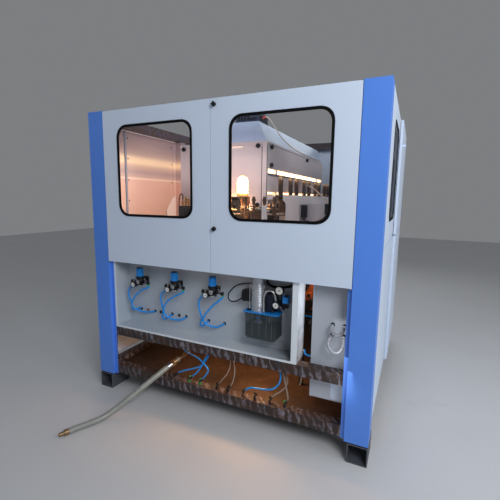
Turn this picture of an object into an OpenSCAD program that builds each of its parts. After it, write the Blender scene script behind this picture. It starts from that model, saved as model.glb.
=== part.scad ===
// Stretch blow moulding machine in a guarded enclosure, millimetres.
// Origin on the floor under the middle of the enclosure, +X right, +Y back, +Z up.

/* [Enclosure] */
// Width and depth of the enclosure over its corner pillars
machine_w = 2280; // [2200:10:2500]
// Height of the corner pillars
pillar_h = 2200; // [2150:10:2400]
// Width of each face of a pillar
pillar_w = 150; // [140:5:160]
// Thickness of the pillar sheet
pillar_t = 3; // [2:0.5:4]
// Depth of the step that the doors lie in
rebate = 26; // [25:1:30]
// Width of the flange behind the step
flange_w = 28; // [24:1:32]
// Height of the front doors
door_h = 1200; // [1150:10:1230]
// Depth of a door's folded edge
door_t = 20; // [18:0.5:20]
// Thickness of door and panel sheet
sheet = 2; // [1:0.5:3]
// Gap round each door
door_gap = 4; // [3.5:0.5:5]
// Side of the square windows
window = 690; // [600:10:700]
// Corner radius of the windows
window_r = 80; // [50:5:100]
// Middle of the windows above the doors' lower edge
window_rise = 732; // [700:4:760]
// Visible width of the rubber round a window
rubber_w = 12; // [8:1:16]

/* [Frame] */
// Side of the square frame tube
beam = 75; // [60:5:80]
// Wall of the frame tube
beam_t = 4; // [3:1:5]
// Side of the square tube of the feet
foot = 130; // [110:5:140]
// Wall of the feet
foot_t = 6; // [4:1:8]
// Thickness of the packing plates on the feet
shim = 15; // [5:1:20]
// Underside of the middle ring of beams above the floor
ring_z = 497; // [480:1:520]
// Underside of the machine bed above the floor
bed_z = 1190; // [1180:1:1200]
// Thickness of the bed plate
bed_t = 12; // [8:1:16]

/* [Air recess] */
// Left wall of the recess from the enclosure's left side
recess_x = 194; // [186:1:210]
// Inner width of the recess
recess_w = 1554; // [1520:2:1570]
// Depth of the recess
recess_d = 160; // [150:1:190]
// Width of the boxed right wall of the recess
recess_box = 40; // [30:1:44]
// Height of the folded lip under the recess floor
lip = 15; // [10:1:20]
// Height of the row of tube holes above the middle ring
hole_rise = 133; // [120:1:140]
// Height of the regulators' ports above the floor
reg_z = 975; // [960:1:985]
// Distance between the regulators
reg_pitch = 352; // [345:1:356]
// First regulator from the enclosure's left side
reg_x = 390; // [385:1:400]
// Diameter of a regulator's knob
knob_d = 55; // [46:1:60]
// Diameter of the blue air tube
tube_d = 12; // [8:1:14]

/* [Lubrication pump] */
// Left side of the oil tank from the recess's left wall
tank_off = 1186; // [1176:1:1206]
// Width of the oil tank
tank_w = 245; // [220:1:250]
// Depth of the oil tank
tank_d = 110; // [100:1:118]
// Height of the oil tank
tank_h = 195; // [180:1:205]
// Diameter of the pump motor
motor_d = 112; // [90:1:116]

/* [Cabinet] */
// Width of the electrical cabinet
cabinet_w = 312; // [290:1:316]
// Depth of the electrical cabinet
cabinet_d = 300; // [250:5:340]
// Underside of the cabinet above the floor
cabinet_z = 325; // [310:5:350]

/* [Oven] */
// Width of the oven
oven_w = 754; // [740:1:770]
// Right side of the oven from the enclosure's left side
oven_off = 1434; // [1424:1:1444]
// Front face of the oven from the enclosure's front
oven_y = 300; // [290:1:320]
// Top of the oven's walls above the floor
oven_top = 2090; // [2070:1:2110]
// Height of the hood
hood_h = 140; // [110:1:150]
// Side of the oven's corner posts
post = 28; // [24:1:30]
// Width of the arched opening in the oven's front
arch_w = 94; // [80:1:100]
// Number of lamps above one another
lamp_rows = 6; // [4:1:7]
// Number of lamps end to end
lamp_cols = 3; // [3:1:3]

/* [Conveyor] */
// Distance between spindles
pitch = 76.2; // [74:0.1:78]
// Pitches along each straight run
run_pitches = 22; // [20:1:22]
// Diameter of a preform's body
preform_d = 36; // [30:1:38]
// Length of a preform
preform_l = 166; // [150:1:170]

/* [Blow station] */
// Width of a mould
mould_w = 340; // [320:2:344]
// Height of a mould
mould_h = 280; // [260:2:290]
// Opening stroke of each mould half
mould_stroke = 110; // [60:5:115]
// Distance between the two cavities
cavity_pitch = 150; // [140:2:160]
// Stroke of the stretch rods
stretch_stroke = 130; // [80:5:135]

/* [Hidden] */

half = machine_w / 2;
beam_z = foot + shim;
pillar_drop = 5;
pillar_z = beam_z - pillar_drop;
top_z = pillar_z + pillar_h;
door_z = top_z - door_h;
frame_off = rebate + pillar_t;
inner = half - frame_off - beam;
run_gap = 0.3;
seat = 0.05;
fine = 48;

hinge_tab = 5;
hinge_r = 4;
hinge_in = 9;
hinge_back = 7;
hinge_pin = 20;
leaf_w = half - pillar_w - door_gap - 1.5;
leaf_h = door_h - 2 * hinge_tab - 2 * run_gap;
leaf_z = door_z + hinge_tab + run_gap;
pane_t = 4;
rubber_proud = 3;
rubber_over = 5;
window_z = door_z + window_rise;
latch_x = 31;
latch_r = 6;
latch_proud = 22;
upper_z = 1380;
lower_z = 240;
split_gap = 10;
overlay = 4;
overlay_lap = 30;
side_len = half - pillar_w - door_gap - split_gap / 2;
side_window = 580;
side_window_y = -split_gap / 2 - 105 - side_window / 2;
pull_z = 2128;
front_leaf_x = -half + pillar_w + door_gap;
front_window_x = front_leaf_x + leaf_w / 2;
side_edge = half - pillar_w + overlay_lap;
side_leaf_w = side_edge - split_gap;
side_leaf_h = top_z - upper_z - 2 * hinge_tab - 2 * run_gap;
latch_at = 1.5 + latch_x;
latch_zs = [leaf_z + 317, top_z - 45];

recess_left = -half + recess_x;
recess_right = recess_left + recess_w;
recess_back = -half + frame_off + recess_d;
recess_floor = ring_z + beam + lip;
hole_z = ring_z + beam + hole_rise;
hole_r = 10;
hole_xs = [for (x = [127, 201, 278, 337, 458, 529, 599, 814, 959]) recess_left + x];
reg_y = -half + 104;
reg_xs = [for (i = [0:2]) -half + reg_x + i * reg_pitch];
stem_r = 6;
port_x = 85;
gauge_x = -42;
gauge_len = 24;

tank_x = recess_left + tank_off;
tank_y = recess_back - sheet - tank_d;
tank_z = 675;
lid_t = 8;
lid_z = tank_z + tank_h;
motor_z = lid_z + lid_t;
motor_h = 270;
motor_x = tank_x + 82;
motor_y = tank_y + tank_d / 2;

cabinet_x = inner - cabinet_w;
cabinet_y = -half + frame_off + beam + 16;
cabinet_top = bed_z - 10;

bed_top = bed_z + beam + bed_t;
oven_right = -half + oven_off;
oven_left = oven_right - oven_w;
oven_front = -half + oven_y;
wall_low = 1690;
line_l = oven_right - 192;
pockets = 12;
sprocket_r = pitch / (2 * sin(180 / pockets));
turn_x = line_l + sprocket_r;
line_r = turn_x + sprocket_r;
turn_front = oven_front + 30;
rear_room = machine_w - oven_y - 30 - sprocket_r - 120;
runs = min(run_pitches, floor(rear_room / pitch));
turn_back = turn_front + runs * pitch;
oven_back = turn_back - 6.4;
chain_z = 1600;
roller_r = 11;
link_t = 6;
spindle_top = 1672;
wheel_r = sprocket_r - roller_r - run_gap;
wheel_t = 12;
lane_z = chain_z - roller_r - 6 - link_t - 0.3;
housing_top = 1703;
slot_top = 1896;
slot_low = 1854;
mid_low = 1727;
housing_x = oven_right + 256;
housing_bottom = 1400;
arch_top = 1845;
lamp_r = 6;
lamp_x = line_l - 110;
lamp_gap = 30;
lamp_step = (oven_back - oven_front - 110) / lamp_cols;
lamp_len = lamp_step - lamp_gap;
lamp_pitch = 24;
lamp_z = 1725;

clamp_x = -half + 370;
clamp_back = half - 130;
clamp_front = clamp_back - 900;
clamp_y = (clamp_front + clamp_back) / 2;
plate_t = 30;
platen_w = 440;
platen_h = 400;
platen_z = bed_top + 20;
mould_z = platen_z + (platen_h - mould_h) / 2;
mould_d = 110;
tie_r = 16;
tie_dx = platen_w / 2 - tie_r - 12;
tie_dz = platen_h / 2 - tie_r - 12;
rod_r = 15;
guide_r = 15;
guide_dx = platen_w / 2 + 28;
bridge_z = platen_z + platen_h + 60;
carriage_z = bridge_z + 190;
crown_z = 2110;
plate_mid = platen_z + platen_h / 2;

function mix(a, b, t) = a + (b - a) * t;
function curve(p0, p1, p2, p3, t) = 0.5 * (2 * p1 + (p2 - p0) * t
    + (2 * p0 - 5 * p1 + 4 * p2 - p3) * t * t + (3 * p1 - p0 - 3 * p2 + p3) * t * t * t);
function smooth(p, k) = let (n = len(p)) [for (i = [0:n - 2], j = [0:k - 1])
    curve(p[max(i - 1, 0)], p[i], p[i + 1], p[min(i + 2, n - 1)], j / k), p[n - 1]];
function unit(v) = v / norm(v);
function heading(p, i) = unit(p[min(i + 1, len(p) - 1)] - p[max(i - 1, 0)]);
function side_of(h, s) = unit(s - (s * h) * h);
function frames(p, i, s) = i >= len(p) ? [] :
    let (n = side_of(heading(p, i), s)) concat([n], frames(p, i + 1, n));

// A round tube swept along a list of points
module sweep(p, r, sides = 8) {
    n = len(p);
    h0 = heading(p, 0);
    start = abs(h0[2]) < 0.8 ? [0, 0, 1] : [1, 0, 0];
    f = frames(p, 0, start);
    ring = [for (i = [0:n - 1], k = [0:sides - 1])
        let (h = heading(p, i), a = 360 * k / sides)
        p[i] + r * (cos(a) * f[i] + sin(a) * cross(h, f[i]))];
    walls = [for (i = [0:n - 2], k = [0:sides - 1])
        let (a = i * sides + k, b = i * sides + (k + 1) % sides)
        each [[a, b, b + sides], [a, b + sides, a + sides]]];
    first = [[for (k = [sides - 1:-1:0]) k]];
    last = [[for (k = [0:sides - 1]) (n - 1) * sides + k]];
    polyhedron(points = ring, faces = [for (w = concat(walls, first, last))
        [for (k = [len(w) - 1:-1:0]) w[k]]], convexity = 6);
}

module box(low, high) { translate(low) cube(high - low); }
module both_x() { children(); mirror([1, 0, 0]) children(); }
module both_y() { children(); mirror([0, 1, 0]) children(); }

// Square tube along X, Y or Z from its lowest corner
module tube_x(at, l, s, t) {
    translate(at) difference() {
        cube([l, s, s]);
        translate([-1, t, t]) cube([l + 2, s - 2 * t, s - 2 * t]);
    }
}
module tube_y(at, l, s, t) {
    translate(at) difference() {
        cube([s, l, s]);
        translate([t, -1, t]) cube([s - 2 * t, l + 2, s - 2 * t]);
    }
}
module tube_z(at, l, s, t) {
    translate(at) difference() {
        cube([s, s, l]);
        translate([t, t, -1]) cube([s - 2 * t, s - 2 * t, l + 2]);
    }
}

// Rounded square, centred
module rounded(w, h, r) {
    square([w - 2 * r, h], center = true);
    square([w, h - 2 * r], center = true);
    for (x = [-1, 1], y = [-1, 1])
        translate([x * (w / 2 - r), y * (h / 2 - r)]) circle(r, $fn = fine);
}

// Rounded square prism that lies in the XZ plane, from y0 to y1
module window_prism(w, h, r, y0, y1) {
    translate([0, y1, 0]) rotate([90, 0, 0]) linear_extrude(y1 - y0) rounded(w, h, r);
}

module feet() {
    color("dimgray") both_x() both_y() {
        tube_y([half - foot, half - 1.6 * foot, 0], 1.6 * foot, foot, foot_t);
        box([inner, inner, foot], [inner + beam, inner + beam, beam_z]);
    }
}

module ring_at(z) {
    both_y() tube_x([-inner, inner, z], 2 * inner, beam, beam_t);
    both_x() tube_y([inner, -inner, z], 2 * inner, beam, beam_t);
}

module base_rings() { color("saddlebrown") { ring_at(beam_z); ring_at(ring_z); } }

// Corner posts, and the mullions that carry the middle of each side
module corner_posts() {
    levels = [[beam_z + beam, ring_z], [ring_z + beam, bed_z], [bed_z + beam, top_z - beam]];
    color("saddlebrown") {
        both_x() both_y() tube_z([inner, inner, beam_z], top_z - beam_z, beam, beam_t);
        both_x() for (l = levels)
            tube_z([inner, -beam / 2, l[0]], l[1] - l[0], beam, beam_t);
    }
}

module top_ring() { color("saddlebrown") ring_at(top_z - beam); }

// Folded section of a pillar, its outer corner at the origin
module pillar_section() {
    for (m = [0, 1]) mirror([m, -m]) {
        square([pillar_w, pillar_t]);
        translate([pillar_w - pillar_t, 0]) square([pillar_t, rebate + pillar_t]);
        translate([pillar_w - pillar_t, rebate]) square([flange_w + pillar_t, pillar_t]);
    }
}

module pillars_front() {
    color("royalblue") for (x = [0, 1]) mirror([x, 0, 0])
        translate([-half, -half, pillar_z]) linear_extrude(pillar_h) pillar_section();
}

module pillars_rear() {
    color("royalblue") for (x = [0, 1]) mirror([x, 0, 0]) mirror([0, 1, 0])
        translate([-half, -half, pillar_z]) linear_extrude(pillar_h) pillar_section();
}

module floor_pan() {
    color("dimgray") box([-inner, -inner, beam_z + 30], [inner, inner, beam_z + 33]);
}

// Folded sheet tray with its outer face at y = 0, from x = 0 and z = 0
module folded(w, h, d) {
    difference() {
        cube([w, d, h]);
        translate([sheet, sheet, sheet]) cube([w - 2 * sheet, d, h - 2 * sheet]);
    }
}

// Hinged leaf whose hinge edge is at x = 0
module leaf(w, h) {
    block_w = 2 * hinge_in;
    difference() {
        union() {
            folded(w, h, door_t);
            for (z = [0, h - hinge_pin - 4]) box([0, 0, z], [block_w, door_t - 2, z + hinge_pin + 4]);
        }
        for (z = [-1, h - hinge_pin - 1]) translate([hinge_in, hinge_back, z])
            cylinder(r = hinge_r + seat, h = hinge_pin + 2, $fn = 32);
    }
}

module front_leaf() {
    difference() {
        leaf(leaf_w, leaf_h);
        translate([leaf_w / 2, 0, window_z - leaf_z])
            window_hole(window, window);
    }
}

module front_door_left() {
    color("lightsteelblue") translate([front_leaf_x, -half, leaf_z]) front_leaf();
}

module front_door_right() {
    color("lightsteelblue") difference() {
        mirror([1, 0, 0]) translate([front_leaf_x, -half, leaf_z]) front_leaf();
        for (z = latch_zs) translate([latch_at, -half - 1, z]) rotate([-90, 0, 0])
            cylinder(r = latch_r + seat, h = sheet + 2, $fn = 32);
    }
}

// Hole in a leaf for the rubber of a w by h window
module window_hole(w, h) {
    window_prism(w - 2 * rubber_over, h - 2 * rubber_over, window_r - rubber_over, -1, sheet + 1);
}

// Rubber profile that grips the sheet's edge and the pane
module gasket(w, h) {
    r = window_r - rubber_w;
    difference() {
        union() {
            window_prism(w, h, window_r, -rubber_proud, 0);
            window_prism(w - 2 * rubber_over, h - 2 * rubber_over, window_r - rubber_over,
                -1, sheet + 1);
            window_prism(w, h, window_r, sheet, sheet + rubber_proud);
        }
        window_prism(w - 2 * rubber_w, h - 2 * rubber_w, r, -10, sheet + 10);
        pane(w, h);
    }
}

module pane(w, h) {
    grip = 2 * (rubber_w - 4);
    window_prism(w - grip, h - grip, window_r - rubber_w + 4,
        (sheet - pane_t) / 2, (sheet + pane_t) / 2);
}

module front_gasket_left() {
    color("black") translate([front_window_x, -half, window_z]) gasket(window, window);
}
module front_gasket_right() {
    color("black") translate([-front_window_x, -half, window_z]) gasket(window, window);
}
module front_pane_left() {
    color("lightblue", 0.3) translate([front_window_x, -half, window_z]) pane(window, window);
}
module front_pane_right() {
    color("lightblue", 0.3) translate([-front_window_x, -half, window_z]) pane(window, window);
}

// Quarter-turn latch: winged knob, spindle and the cam behind the sheet
module latch(z) {
    color("black") translate([latch_at, -half, z]) rotate([90, 0, 0]) {
        translate([0, 0, -sheet - 5]) cylinder(r = latch_r, h = sheet + 6, $fn = 32);
        translate([0, 0, run_gap]) cylinder(r = 13, h = 4, $fn = fine);
        translate([0, 0, 4]) cylinder(r = 9, h = latch_proud - 4, $fn = fine);
        for (a = [0:90:270]) rotate([0, 0, a]) translate([11, 0, 8])
            cylinder(r = 6, h = latch_proud - 8, $fn = 24);
        translate([-6, -14, -sheet - 5]) cube([12, 26, 4]);
    }
}

module latch_upper() { latch(latch_zs[1]); }
module latch_lower() { latch(latch_zs[0]); }

// Pins of the front doors on tabs of the pillars
module front_pins() {
    x = front_leaf_x + hinge_in;
    for (u = [0, 1]) {
        z = u == 0 ? door_z : top_z - hinge_tab;
        box([front_leaf_x - door_gap + 1, -half + 1, z],
            [x + 9, -half + rebate, z + hinge_tab]);
        translate([x, -half + hinge_back, u == 0 ? door_z : top_z - hinge_tab - hinge_pin])
            cylinder(r = hinge_r, h = hinge_pin + hinge_tab, $fn = 32);
    }
}

// Pins of the side doors on tabs of the rear pillars
module side_pins() {
    px = half + overlay + door_t - hinge_back;
    for (u = [0, 1]) {
        z = u == 0 ? upper_z : top_z - hinge_tab;
        box([half, side_edge - hinge_in - 9, z], [px + 6, side_edge - 1, z + hinge_tab]);
        translate([px, side_edge - hinge_in, u == 0 ? upper_z : top_z - hinge_tab - hinge_pin])
            cylinder(r = hinge_r, h = hinge_pin + hinge_tab, $fn = 32);
    }
}

module hinge_pins() { color("gray") both_x() { front_pins(); side_pins(); } }

// Side doors lie proud over the rear pillar and the mullion
module side_door_right() {
    color("lightsteelblue") {
        translate([half + overlay + door_t, side_edge, upper_z + hinge_tab + run_gap])
            rotate([0, 0, -90]) mirror([0, 1, 0]) leaf(side_leaf_w, side_leaf_h);
        translate([half + overlay + door_t, side_edge - side_leaf_w + 30, pull_z])
            rotate([0, 90, 0]) cylinder(r = 13, h = 28, $fn = fine);
    }
}

module side_door_left() { mirror([1, 0, 0]) side_door_right(); }

// Fixed panel in the rebate of a side, from the front pillar to the mullion
module side_fixed(z, h) {
    translate([half, -half + pillar_w + door_gap, z]) rotate([0, 0, 90])
        folded(side_len, h, rebate);
}

module at_side_window() {
    translate([half, side_window_y, window_z]) rotate([0, 0, 90]) children();
}

module side_panel_right() {
    color("lightsteelblue") difference() {
        side_fixed(upper_z, top_z - upper_z - door_gap);
        at_side_window() window_hole(side_window, window);
    }
}

module side_gasket() { color("black") at_side_window() gasket(side_window, window); }
module side_pane() { color("lightblue", 0.3) at_side_window() pane(side_window, window); }

// Fixed left panel and the bright liner screwed behind it
module side_panel_left() {
    color("lightsteelblue") {
        mirror([1, 0, 0]) side_fixed(upper_z, top_z - upper_z - door_gap);
        box([-half + frame_off, -inner, upper_z],
            [-half + frame_off + 2, -beam / 2, top_z - beam]);
    }
}

// Fixed lower panel at the front, and the proud one behind it
module lower_pair() {
    h = upper_z - lower_z - split_gap;
    side_fixed(lower_z, h);
    translate([half + overlay + door_t, side_edge, lower_z]) rotate([0, 0, -90])
        mirror([0, 1, 0]) folded(side_leaf_w, h, door_t + overlay);
}

module lower_panels_right() { color("lightsteelblue") lower_pair(); }
module lower_panels_left() { color("lightsteelblue") mirror([1, 0, 0]) lower_pair(); }

module rear_panels() {
    w = 2 * (half - pillar_w - door_gap);
    color("lightsteelblue") mirror([0, 1, 0]) {
        translate([-w / 2, -half, door_z]) folded(w, door_h - 4, rebate);
        translate([-w / 2, -half, lower_z]) folded(w, door_z - lower_z - split_gap, rebate);
        for (x = [-w / 4, w / 4], z = [lower_z + 500, door_z + 600])
            translate([x, -half, z]) rotate([90, 0, 0]) {
                cylinder(r = 9, h = latch_proud - 6, $fn = fine);
                translate([0, 0, latch_proud - 6]) cylinder(r = 15, h = 6, $fn = fine);
            }
    }
}

// Folded tray of the air recess, and its boxed right wall
module utility_tray() {
    y0 = -half + frame_off;
    low = ring_z + beam;
    color("gainsboro") {
        difference() {
            union() {
                box([recess_left - sheet, recess_back - sheet, recess_floor - sheet],
                    [recess_right, recess_back, bed_z]);
                box([recess_left - sheet, y0, recess_floor - sheet],
                    [recess_right, recess_back, recess_floor]);
                box([recess_left - sheet, y0, low], [recess_right, y0 + sheet, recess_floor]);
                box([recess_left - sheet, y0, low], [recess_left, recess_back, bed_z]);
                box([recess_left - 18, y0, low], [recess_left, y0 + sheet, bed_z]);
            }
            for (x = hole_xs) translate([x, recess_back - sheet - 1, hole_z])
                rotate([-90, 0, 0]) cylinder(r = hole_r, h = sheet + 2, $fn = 32);
        }
        difference() {
            box([recess_right, y0, low], [recess_right + recess_box, recess_back, bed_z]);
            box([recess_right + sheet, y0 + sheet, low - 1],
                [recess_right + recess_box - sheet, recess_back + 1, bed_z + 1]);
        }
    }
}

// Body of one regulator: bonnet, block, bowl, side ports and wall bracket
module regulator_body() {
    translate([0, 0, reg_z + 8]) cylinder(r1 = 31, r2 = 24, h = 26, $fn = fine);
    translate([0, 0, reg_z + 34]) cylinder(r = knob_d / 2 + 3, h = 12, $fn = fine);
    translate([0, 0, reg_z + 46]) cylinder(r = stem_r, h = 22, $fn = 32);
    translate([-25, -25, reg_z - 20]) cube([50, 50, 28]);
    translate([0, 0, reg_z - 34]) cylinder(r1 = 17, r2 = 24, h = 14, $fn = fine);
    translate([gauge_x - 6, -25, reg_z - 30]) cube([12, 25, 24]);
    translate([-44, 0, reg_z - 4]) rotate([0, 90, 0]) cylinder(r = 11, h = 88, $fn = fine);
    translate([-port_x, 0, reg_z - 4]) rotate([0, 90, 0])
        cylinder(r = 7, h = 2 * port_x, $fn = 32);
    for (x = [-port_x, port_x]) translate([x, 0, reg_z - 18]) {
        cylinder(r = 10, h = 24, $fn = 32);
        translate([0, 0, -6]) cylinder(r = 8, h = 6, $fn = 32);
    }
    translate([-22, 25, reg_z - 16]) cube([44, recess_back - sheet - reg_y - 25, 4]);
    translate([-22, recess_back - sheet - reg_y - 3, reg_z - 40]) cube([44, 3, 70]);
}

module regulator_bodies() {
    color("silver") for (x = reg_xs) translate([x, reg_y, 0]) regulator_body();
}

// Knurled regulator knob that turns on its stem
module regulator_knob(i) {
    color("dodgerblue") translate([reg_xs[i], reg_y, reg_z + 46 + run_gap]) difference() {
        union() {
            cylinder(r = knob_d / 2, h = 62, $fn = fine);
            translate([0, 0, 62]) cylinder(r1 = knob_d / 2, r2 = knob_d / 2 - 4, h = 6, $fn = fine);
        }
        translate([0, 0, -1]) cylinder(r = stem_r + seat, h = 26, $fn = 32);
        for (a = [0:20:340]) rotate([0, 0, a]) translate([knob_d / 2 + 1, 0, 12])
            cylinder(r = 2.2, h = 46, $fn = 16);
    }
}
module regulator_knob_1() { regulator_knob(0); }
module regulator_knob_2() { regulator_knob(1); }
module regulator_knob_3() { regulator_knob(2); }

// Round pressure gauge that faces the front, its back at the origin
module gauge(d) {
    rotate([90, 0, 0]) difference() {
        cylinder(d = d, h = gauge_len, $fn = fine);
        translate([0, 0, gauge_len - 3]) cylinder(d = d - 5, h = 4, $fn = fine);
    }
}

module gauges() {
    color("black") {
        for (x = reg_xs) translate([x + gauge_x, reg_y - 25, reg_z - 26]) gauge(42);
        translate([tank_x + 254, motor_y - 4, motor_z + 167]) gauge(50);
        translate([tank_x + 234, motor_y - 4, motor_z + 70]) gauge(44);
    }
}

// Blue air tubes from each port down to its hole, the left one in a tight loop
reg_left = [[-port_x, 0, -30], [-102, 0, -50], [-124, -2, -95], [-114, -6, -160],
    [-98, -12, -215], [-100, -10, -262], [-98, 4, -282], [-86, 18, -286]];
reg_right = [[port_x, 0, -30], [74, 0, -48], [8, 2, -92], [-50, 4, -145], [-86, 8, -195],
    [-84, 8, -235], [-52, 10, -262]];
reg_holes = [[0, 2], [4, 6], [7, 8]];

module regulator_tubes() {
    end_y = recess_back - sheet - reg_y;
    color("dodgerblue") for (i = [0:2]) translate([reg_xs[i], reg_y, 0]) {
        a = hole_xs[reg_holes[i][0]] - reg_xs[i];
        b = hole_xs[reg_holes[i][1]] - reg_xs[i];
        left = concat([for (p = reg_left) [p[0], p[1], p[2] + reg_z]],
            [[a - 4, end_y - 24, hole_z - 6], [a, end_y + 6, hole_z]]);
        right = concat([for (p = reg_right) [p[0], p[1], p[2] + reg_z]],
            [[mix(-52, b, 0.5), 26, hole_z - 14], [b - 16, end_y - 26, hole_z - 6],
            [b, end_y + 6, hole_z]]);
        sweep(concat([[-port_x, 0, reg_z - 24.1]], smooth(left, 3)), tube_d / 2);
        sweep(concat([[port_x, 0, reg_z - 24.1]], smooth(right, 3)), tube_d / 2);
    }
}

// Clear oil tank with chamfered lower edges, open at the top
module tank_outline(d) {
    c = 18 - d / 2;
    polygon([[d, c + d], [c + d, d], [tank_w - c - d, d], [tank_w - d, c + d],
        [tank_w - d, tank_h], [d, tank_h]]);
}

module pump_tank() {
    color("darkslategray", 0.6) translate([tank_x, tank_y + tank_d, tank_z])
        rotate([90, 0, 0]) difference() {
            linear_extrude(tank_d) tank_outline(0);
            translate([0, 0, 4]) linear_extrude(tank_d - 8) union() {
                tank_outline(4);
                translate([4, tank_h - 6]) square([tank_w - 8, 20]);
            }
        }
    color("darkslategray") box([tank_x + 40, tank_y + tank_d, tank_z + 40],
        [tank_x + tank_w - 40, recess_back - sheet, tank_z + 70]);
}

module pump_lid() {
    color("dodgerblue") box([tank_x - 12, tank_y - 10, lid_z],
        [tank_x + tank_w + 12, recess_back - sheet, lid_z + lid_t]);
    color("dodgerblue") translate([motor_x, motor_y, lid_z - 90]) {
        cylinder(r = 16, h = 90, $fn = fine);
        translate([0, 0, -14]) cylinder(r1 = 26, r2 = 22, h = 14, $fn = fine);
    }
}

// Vertical motor with its flange, ribs, bolts, cap and terminal plug
module pump_motor() {
    r = motor_d / 2;
    color("silver") translate([motor_x, motor_y, motor_z]) {
        cylinder(r = r - 4, h = 12, $fn = fine);
        translate([0, 0, 12]) cylinder(r = r - 12, h = 22, $fn = fine);
        translate([0, 0, 34]) cylinder(r = r - 7, h = motor_h - 90, $fn = fine);
        translate([0, 0, motor_h - 56]) cylinder(r = r - 3, h = 40, $fn = fine);
        translate([0, 0, motor_h - 16]) cylinder(r1 = r - 3, r2 = r - 20, h = 16, $fn = fine);
        for (a = [45:90:315]) rotate([0, 0, a]) translate([r - 9, 0, 6])
            cylinder(r = 4, h = motor_h - 60, $fn = 24);
        translate([-r - 44, -16, 60]) cube([60, 30, 83]);
    }
}

// Valve blocks, gauge stem and the bent silver pipe on the pump's lid
module pump_valves() {
    x = tank_x;
    y = motor_y;
    z = motor_z;
    pipe = [[x + 148, y - 34, z], [x + 148, y - 34, z + 60], [x + 150, y - 34, z + 110],
        [x + 162, y - 32, z + 146], [x + 188, y - 26, z + 164], [x + 214, y - 14, z + 146],
        [x + 226, y - 2, z + 112], [x + 230, y + 6, z + 77]];
    color("black") {
        box([x + 158, y - 10, z], [x + 186, y + 28, z + 107]);
        box([x + 186, y - 4, z + 43], [x + 306, y + 16, z + 77]);
        box([x + 280, y - 12, z + 77], [x + 306, y + 16, z + 134]);
        box([x + 248, y - 4, z + 77], [x + 260, y + 8, z + 177]);
        translate([x + 289, y - 4, z + 58]) rotate([112, 0, 0]) cylinder(r = 4, h = 34, $fn = 24);
        sweep(smooth(pipe, 3), 5);
    }
}

// Electrical cabinet: open shell and the cover that closes its left side
module cabinet() {
    color("silver") {
        difference() {
            box([cabinet_x + 10, cabinet_y, cabinet_z], [inner, cabinet_y + cabinet_d, cabinet_top]);
            box([cabinet_x + 9, cabinet_y + sheet, cabinet_z + sheet],
                [inner - sheet, cabinet_y + cabinet_d - sheet, cabinet_top - sheet]);
        }
        difference() {
            box([cabinet_x, cabinet_y - 2, cabinet_z - 2],
                [cabinet_x + 14, cabinet_y + cabinet_d + 2, cabinet_top + 2]);
            box([cabinet_x + sheet, cabinet_y, cabinet_z],
                [cabinet_x + 15, cabinet_y + cabinet_d, cabinet_top]);
        }
    }
}

// Glands in the cabinet's front and the two looped conduits between them
gland_xs = [cabinet_x + 139, cabinet_x + 216];
gland_zs = [862, 792];
module cabinet_conduits() {
    loops = [[[0, -30, 0], [2, -46, -14], [20, -56, -40], [46, -58, -50], [68, -50, -34],
        [76, -42, -12], [77, -30, 0]],
        [[0, -30, 0], [-14, -48, -20], [-14, -58, -56], [16, -62, -92], [56, -60, -88],
        [80, -50, -44], [77, -30, 0]]];
    color("gray") for (i = [0, 1]) {
        for (x = gland_xs) translate([x, cabinet_y, gland_zs[i]]) rotate([90, 0, 0]) {
            cylinder(r = 15, h = 8, $fn = 32);
            translate([0, 0, 8]) cylinder(r = 11, h = 22, $fn = 32);
        }
        translate([gland_xs[0], cabinet_y, gland_zs[i]]) sweep(smooth(loops[i], 4), 7);
    }
}

// Elbow fittings along the lower front beam
fit_xs = [for (x = [768, 902, 998, 1150, 1248, 1375, 1472, 1590, 1702]) x - half];
fit_y = -half + 66;
elbow_dir = unit([0.30, 0.81, 0.5]);
elbow_l = 26;
module beam_fittings() {
    color("black") for (x = fit_xs) translate([x, fit_y, beam_z + beam]) {
        cylinder(r = 9, h = 12, $fn = 32);
        translate([0, 0, 12]) cylinder(r = 7, h = 14, $fn = 32);
        along([0, 0, 19], elbow_dir) cylinder(r = 8, h = elbow_l, $fn = 32);
    }
}

// Tubes from the fittings up behind the middle beam to the tray's underside
beam_runs = [
    [0, 5, [[70, 26, 66], [148, 36, 96], [206, 50, 124], [256, 58, 186], [282, 64, 260]]],
    [1, 5, [[52, 24, 74], [98, 36, 146], [128, 42, 214], [164, 58, 270]]],
    [2, 5, [[36, 19, 66], [66, 20, 122], [24, 22, 166], [-42, 26, 204], [-164, 44, 226],
        [-204, 58, 270]]],
    [3, 4, [[34, 20, 66], [74, 24, 120], [96, 34, 176], [96, 58, 262]]],
    [4, 4, [[26, 18, 62], [40, 22, 104], [44, 28, 186], [16, 47, 256]]],
    [5, 6, [[28, 20, 52], [64, 24, 68], [150, 30, 74], [222, 30, 94], [268, 32, 140],
        [282, 36, 200], [262, 58, 262]]],
    [7, 6, [[30, 20, 60], [66, 28, 88], [106, 38, 134], [112, 46, 190], [84, 60, 264]]],
    [8, 6, [[20, 18, 62], [8, 20, 116], [-12, 24, 196], [-46, 58, 264]]]];

module beam_tubes() {
    color("dodgerblue") for (t = beam_runs) {
        start = [fit_xs[t[0]], fit_y, beam_z + beam];
        ends = t[2][len(t[2]) - 1];
        out = start + [0, 0, 19] + elbow_l * elbow_dir;
        up = [start[0] + ends[0], start[1] + ends[1] + 3, recess_floor - sheet];
        route = concat([out + 5 * elbow_dir], [for (q = t[2]) start + q], [up - [0, 0, 10]]);
        sweep(concat([out], smooth(route, 3), [up]), t[1]);
    }
}

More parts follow.
